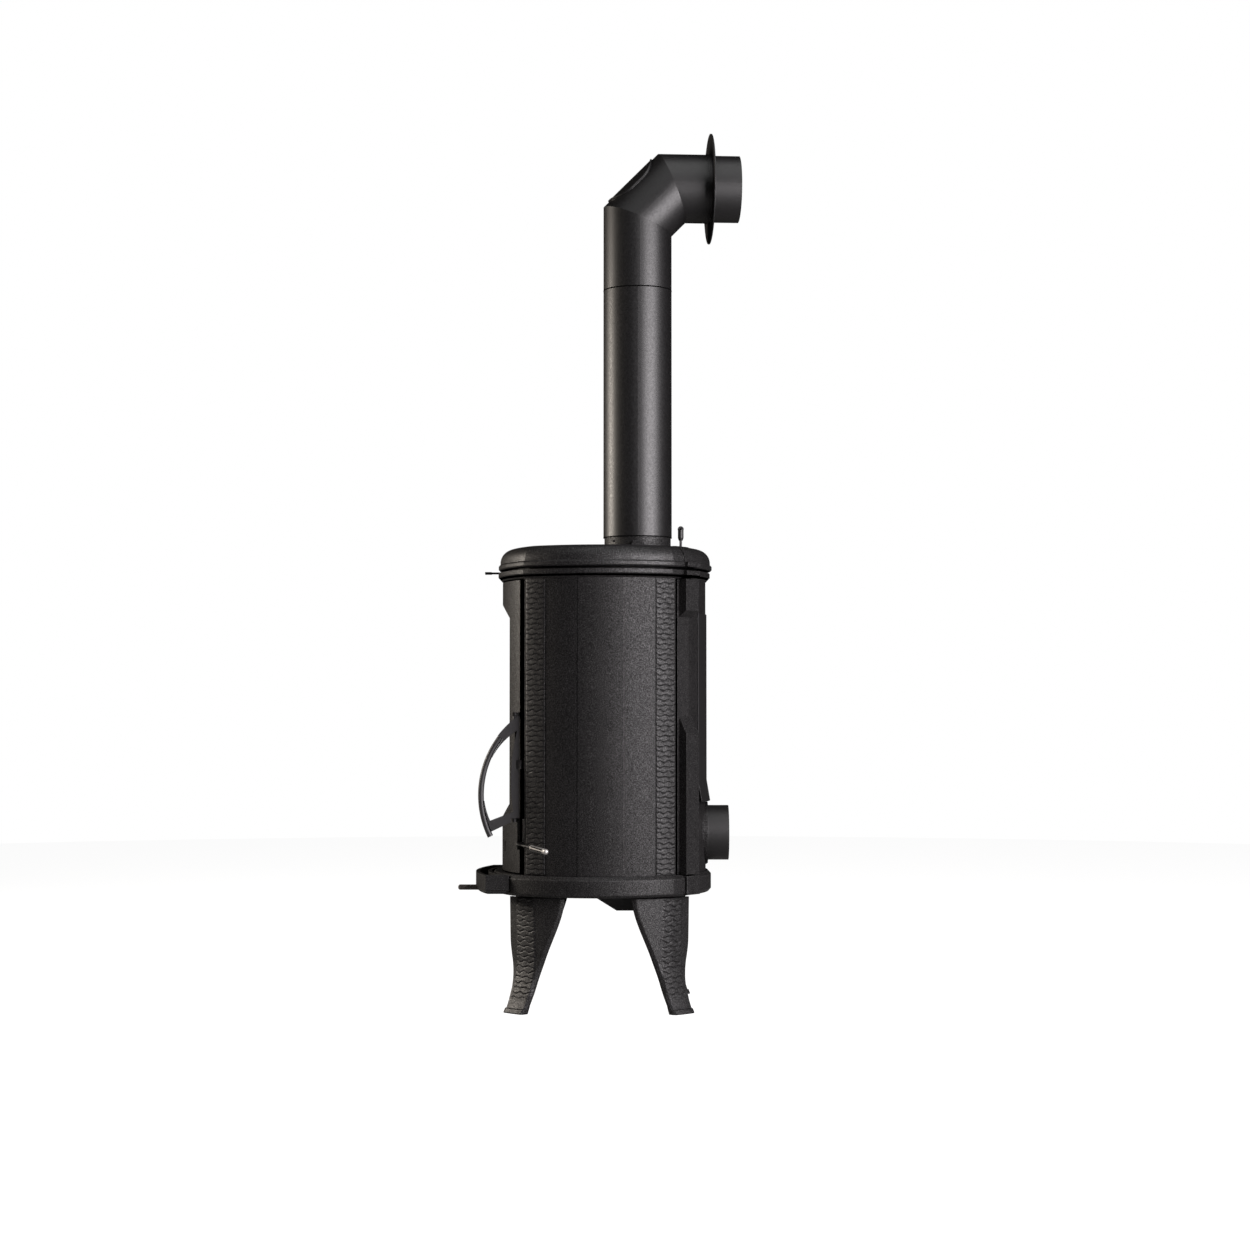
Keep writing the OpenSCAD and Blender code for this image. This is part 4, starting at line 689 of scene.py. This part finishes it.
# Two screws in the collar's wall, and two larger ones low at its front and rear
for i, (angle, up, size) in enumerate(((-90, 0.006, 0.0042), (-46, 0.020, 0.0026),
                                       (46, 0.020, 0.0026), (90, 0.006, 0.0042))):
    out = (math.cos(math.radians(angle)), math.sin(math.radians(angle)), 0)
    r = FLUE_R - 0.0015
    dome_screw(f"collar_screw_{i}", (out[0] * r, FLUE_Y + out[1] * r, TOP_Z + up), out, size)

# A black plug of painted shade stands in the middle of the knob's hole
hole_r, hole_up = 0.0025, 0.050
bm = bmesh.new()
bmesh.ops.create_cone(bm, cap_ends=True, segments=24, radius1=hole_r, radius2=hole_r, depth=0.0036)
turned = Matrix.Rotation(math.radians(90), 3, "Y")
bmesh.ops.rotate(bm, cent=(0, 0, 0), matrix=turned, verts=bm.verts)
bmesh.ops.translate(bm, vec=(0, pull_y, TOP_Z + hole_up), verts=bm.verts)
placed(mesh_from(bm, "knob_hole_painted_shade"), "damper_lifter", SHADOW)

# A low cast boss on the collar's handle side, a little smaller at its face than at its root
boss = [(-0.0160, 0.0), (0.0160, 0.0), (0.0105, 0.0125), (-0.0105, 0.0125)]
bm = bmesh.new()
inner = [bm.verts.new((FLUE_R - 0.004, FLUE_Y + y, TOP_Z + z)) for y, z in boss]
outer = [bm.verts.new((FLUE_R + 0.0015, FLUE_Y + y * 0.93, TOP_Z + z * 0.93)) for y, z in boss]
bm.faces.new(inner)
bm.faces.new(outer)
for k in range(4):
    n = (k + 1) % 4
    bm.faces.new((inner[k], inner[n], outer[n], outer[k]))
bmesh.ops.recalc_face_normals(bm, faces=bm.faces)
placed(mesh_from(bm, "collar_boss"), "stove", IRON)

# ---------------------------------------------------------------- stage


def cleared(owner):
    """The emptied node tree of a material or a world."""
    owner.use_nodes = True
    owner.node_tree.nodes.clear()
    return owner.node_tree


def added(tree, kind, **inputs):
    """A new node with some of its inputs set."""
    node = tree.nodes.new(kind)
    for name, value in inputs.items():
        node.inputs[name].default_value = value
    return node


# The floor takes the shadow, and glows white to the camera only
FLOOR_R, FLOOR_SIDES, FLOOR_Z = 7.0, 64, -0.0002
white = bpy.data.materials.new("stage_white")
tree = cleared(white)
out = added(tree, "ShaderNodeOutputMaterial")
diff = added(tree, "ShaderNodeBsdfDiffuse", Color=(0.28, 0.28, 0.28, 1))
emit = added(tree, "ShaderNodeEmission", Strength=0.95)
black = added(tree, "ShaderNodeEmission", Strength=0.0)
path = added(tree, "ShaderNodeLightPath")
pick = added(tree, "ShaderNodeMixShader")
both = added(tree, "ShaderNodeAddShader")
tree.links.new(path.outputs["Is Camera Ray"], pick.inputs["Fac"])
tree.links.new(black.outputs[0], pick.inputs[1])
tree.links.new(emit.outputs[0], pick.inputs[2])
tree.links.new(diff.outputs[0], both.inputs[0])
tree.links.new(pick.outputs[0], both.inputs[1])
tree.links.new(both.outputs[0], out.inputs["Surface"])

floor_mesh = bpy.data.meshes.new("floor")
turns = [2 * math.pi * i / FLOOR_SIDES for i in range(FLOOR_SIDES)]
rim = [(FLOOR_R * math.cos(a), FLOOR_R * math.sin(a), FLOOR_Z) for a in turns]
floor_mesh.from_pydata(rim, [], [tuple(range(FLOOR_SIDES))])
floor = bpy.data.objects.new("floor", floor_mesh)
bpy.context.scene.collection.objects.link(floor)
floor_mesh.materials.append(white)

# The world is white to the camera and through glass, and nearly black as a light
world = bpy.data.worlds.new("studio")
bpy.context.scene.world = world
tree = cleared(world)
out = added(tree, "ShaderNodeOutputWorld")
seen = added(tree, "ShaderNodeBackground", Color=(1, 1, 1, 1), Strength=1.0)
lit = added(tree, "ShaderNodeBackground", Color=(1, 1, 1, 1), Strength=0.006)
path = added(tree, "ShaderNodeLightPath")
pick = added(tree, "ShaderNodeMixShader")
shown = added(tree, "ShaderNodeMath")
shown.operation = "MAXIMUM"
tree.links.new(path.outputs["Is Camera Ray"], shown.inputs[0])
tree.links.new(path.outputs["Is Transmission Ray"], shown.inputs[1])
tree.links.new(shown.outputs[0], pick.inputs["Fac"])
tree.links.new(lit.outputs[0], pick.inputs[1])
tree.links.new(seen.outputs[0], pick.inputs[2])
tree.links.new(pick.outputs[0], out.inputs["Surface"])


AIM_Z = 0.9


def softbox(name, azimuth, distance, height, width, tall, power, colour):
    """A rectangular lamp that looks at the stove's axis, AIM_Z above the floor."""
    light = bpy.data.lights.new(name, "AREA")
    light.shape = "RECTANGLE"
    light.size = width
    light.size_y = tall
    light.energy = power
    light.color = colour
    obj = bpy.data.objects.new(name, light)
    a = math.radians(azimuth)
    obj.location = (distance * math.cos(a), distance * math.sin(a), height)
    to = Vector((0, 0, AIM_Z)) - obj.location
    obj.rotation_euler = to.to_track_quat("-Z", "Y").to_euler()
    obj.visible_camera = False
    bpy.context.scene.collection.objects.link(obj)


softbox("left_box", -101, 3.2, 1.5, 0.45, 1.1, 92, (1.0, 0.91, 0.81))
softbox("right_box", 44, 3.2, 1.42, 2.2, 2.2, 216, (1.0, 0.955, 0.98))
softbox("top_box", 20, 1.2, 3.6, 2.4, 2.4, 32, (1.0, 1.0, 1.0))

# The camera stands where the photograph was taken from, tipped up 1.92 degrees
cam_data = bpy.data.cameras.new("camera")
cam_data.sensor_width = 36.0
cam_data.lens = 68.77
cam = bpy.data.objects.new("camera", cam_data)
cam.location = (5.497, 0.054, 0.682)
cam.rotation_euler = (math.radians(91.92), 0, math.radians(90))
bpy.context.scene.collection.objects.link(cam)
bpy.context.scene.camera = cam
bpy.context.scene.view_settings.view_transform = "Standard"
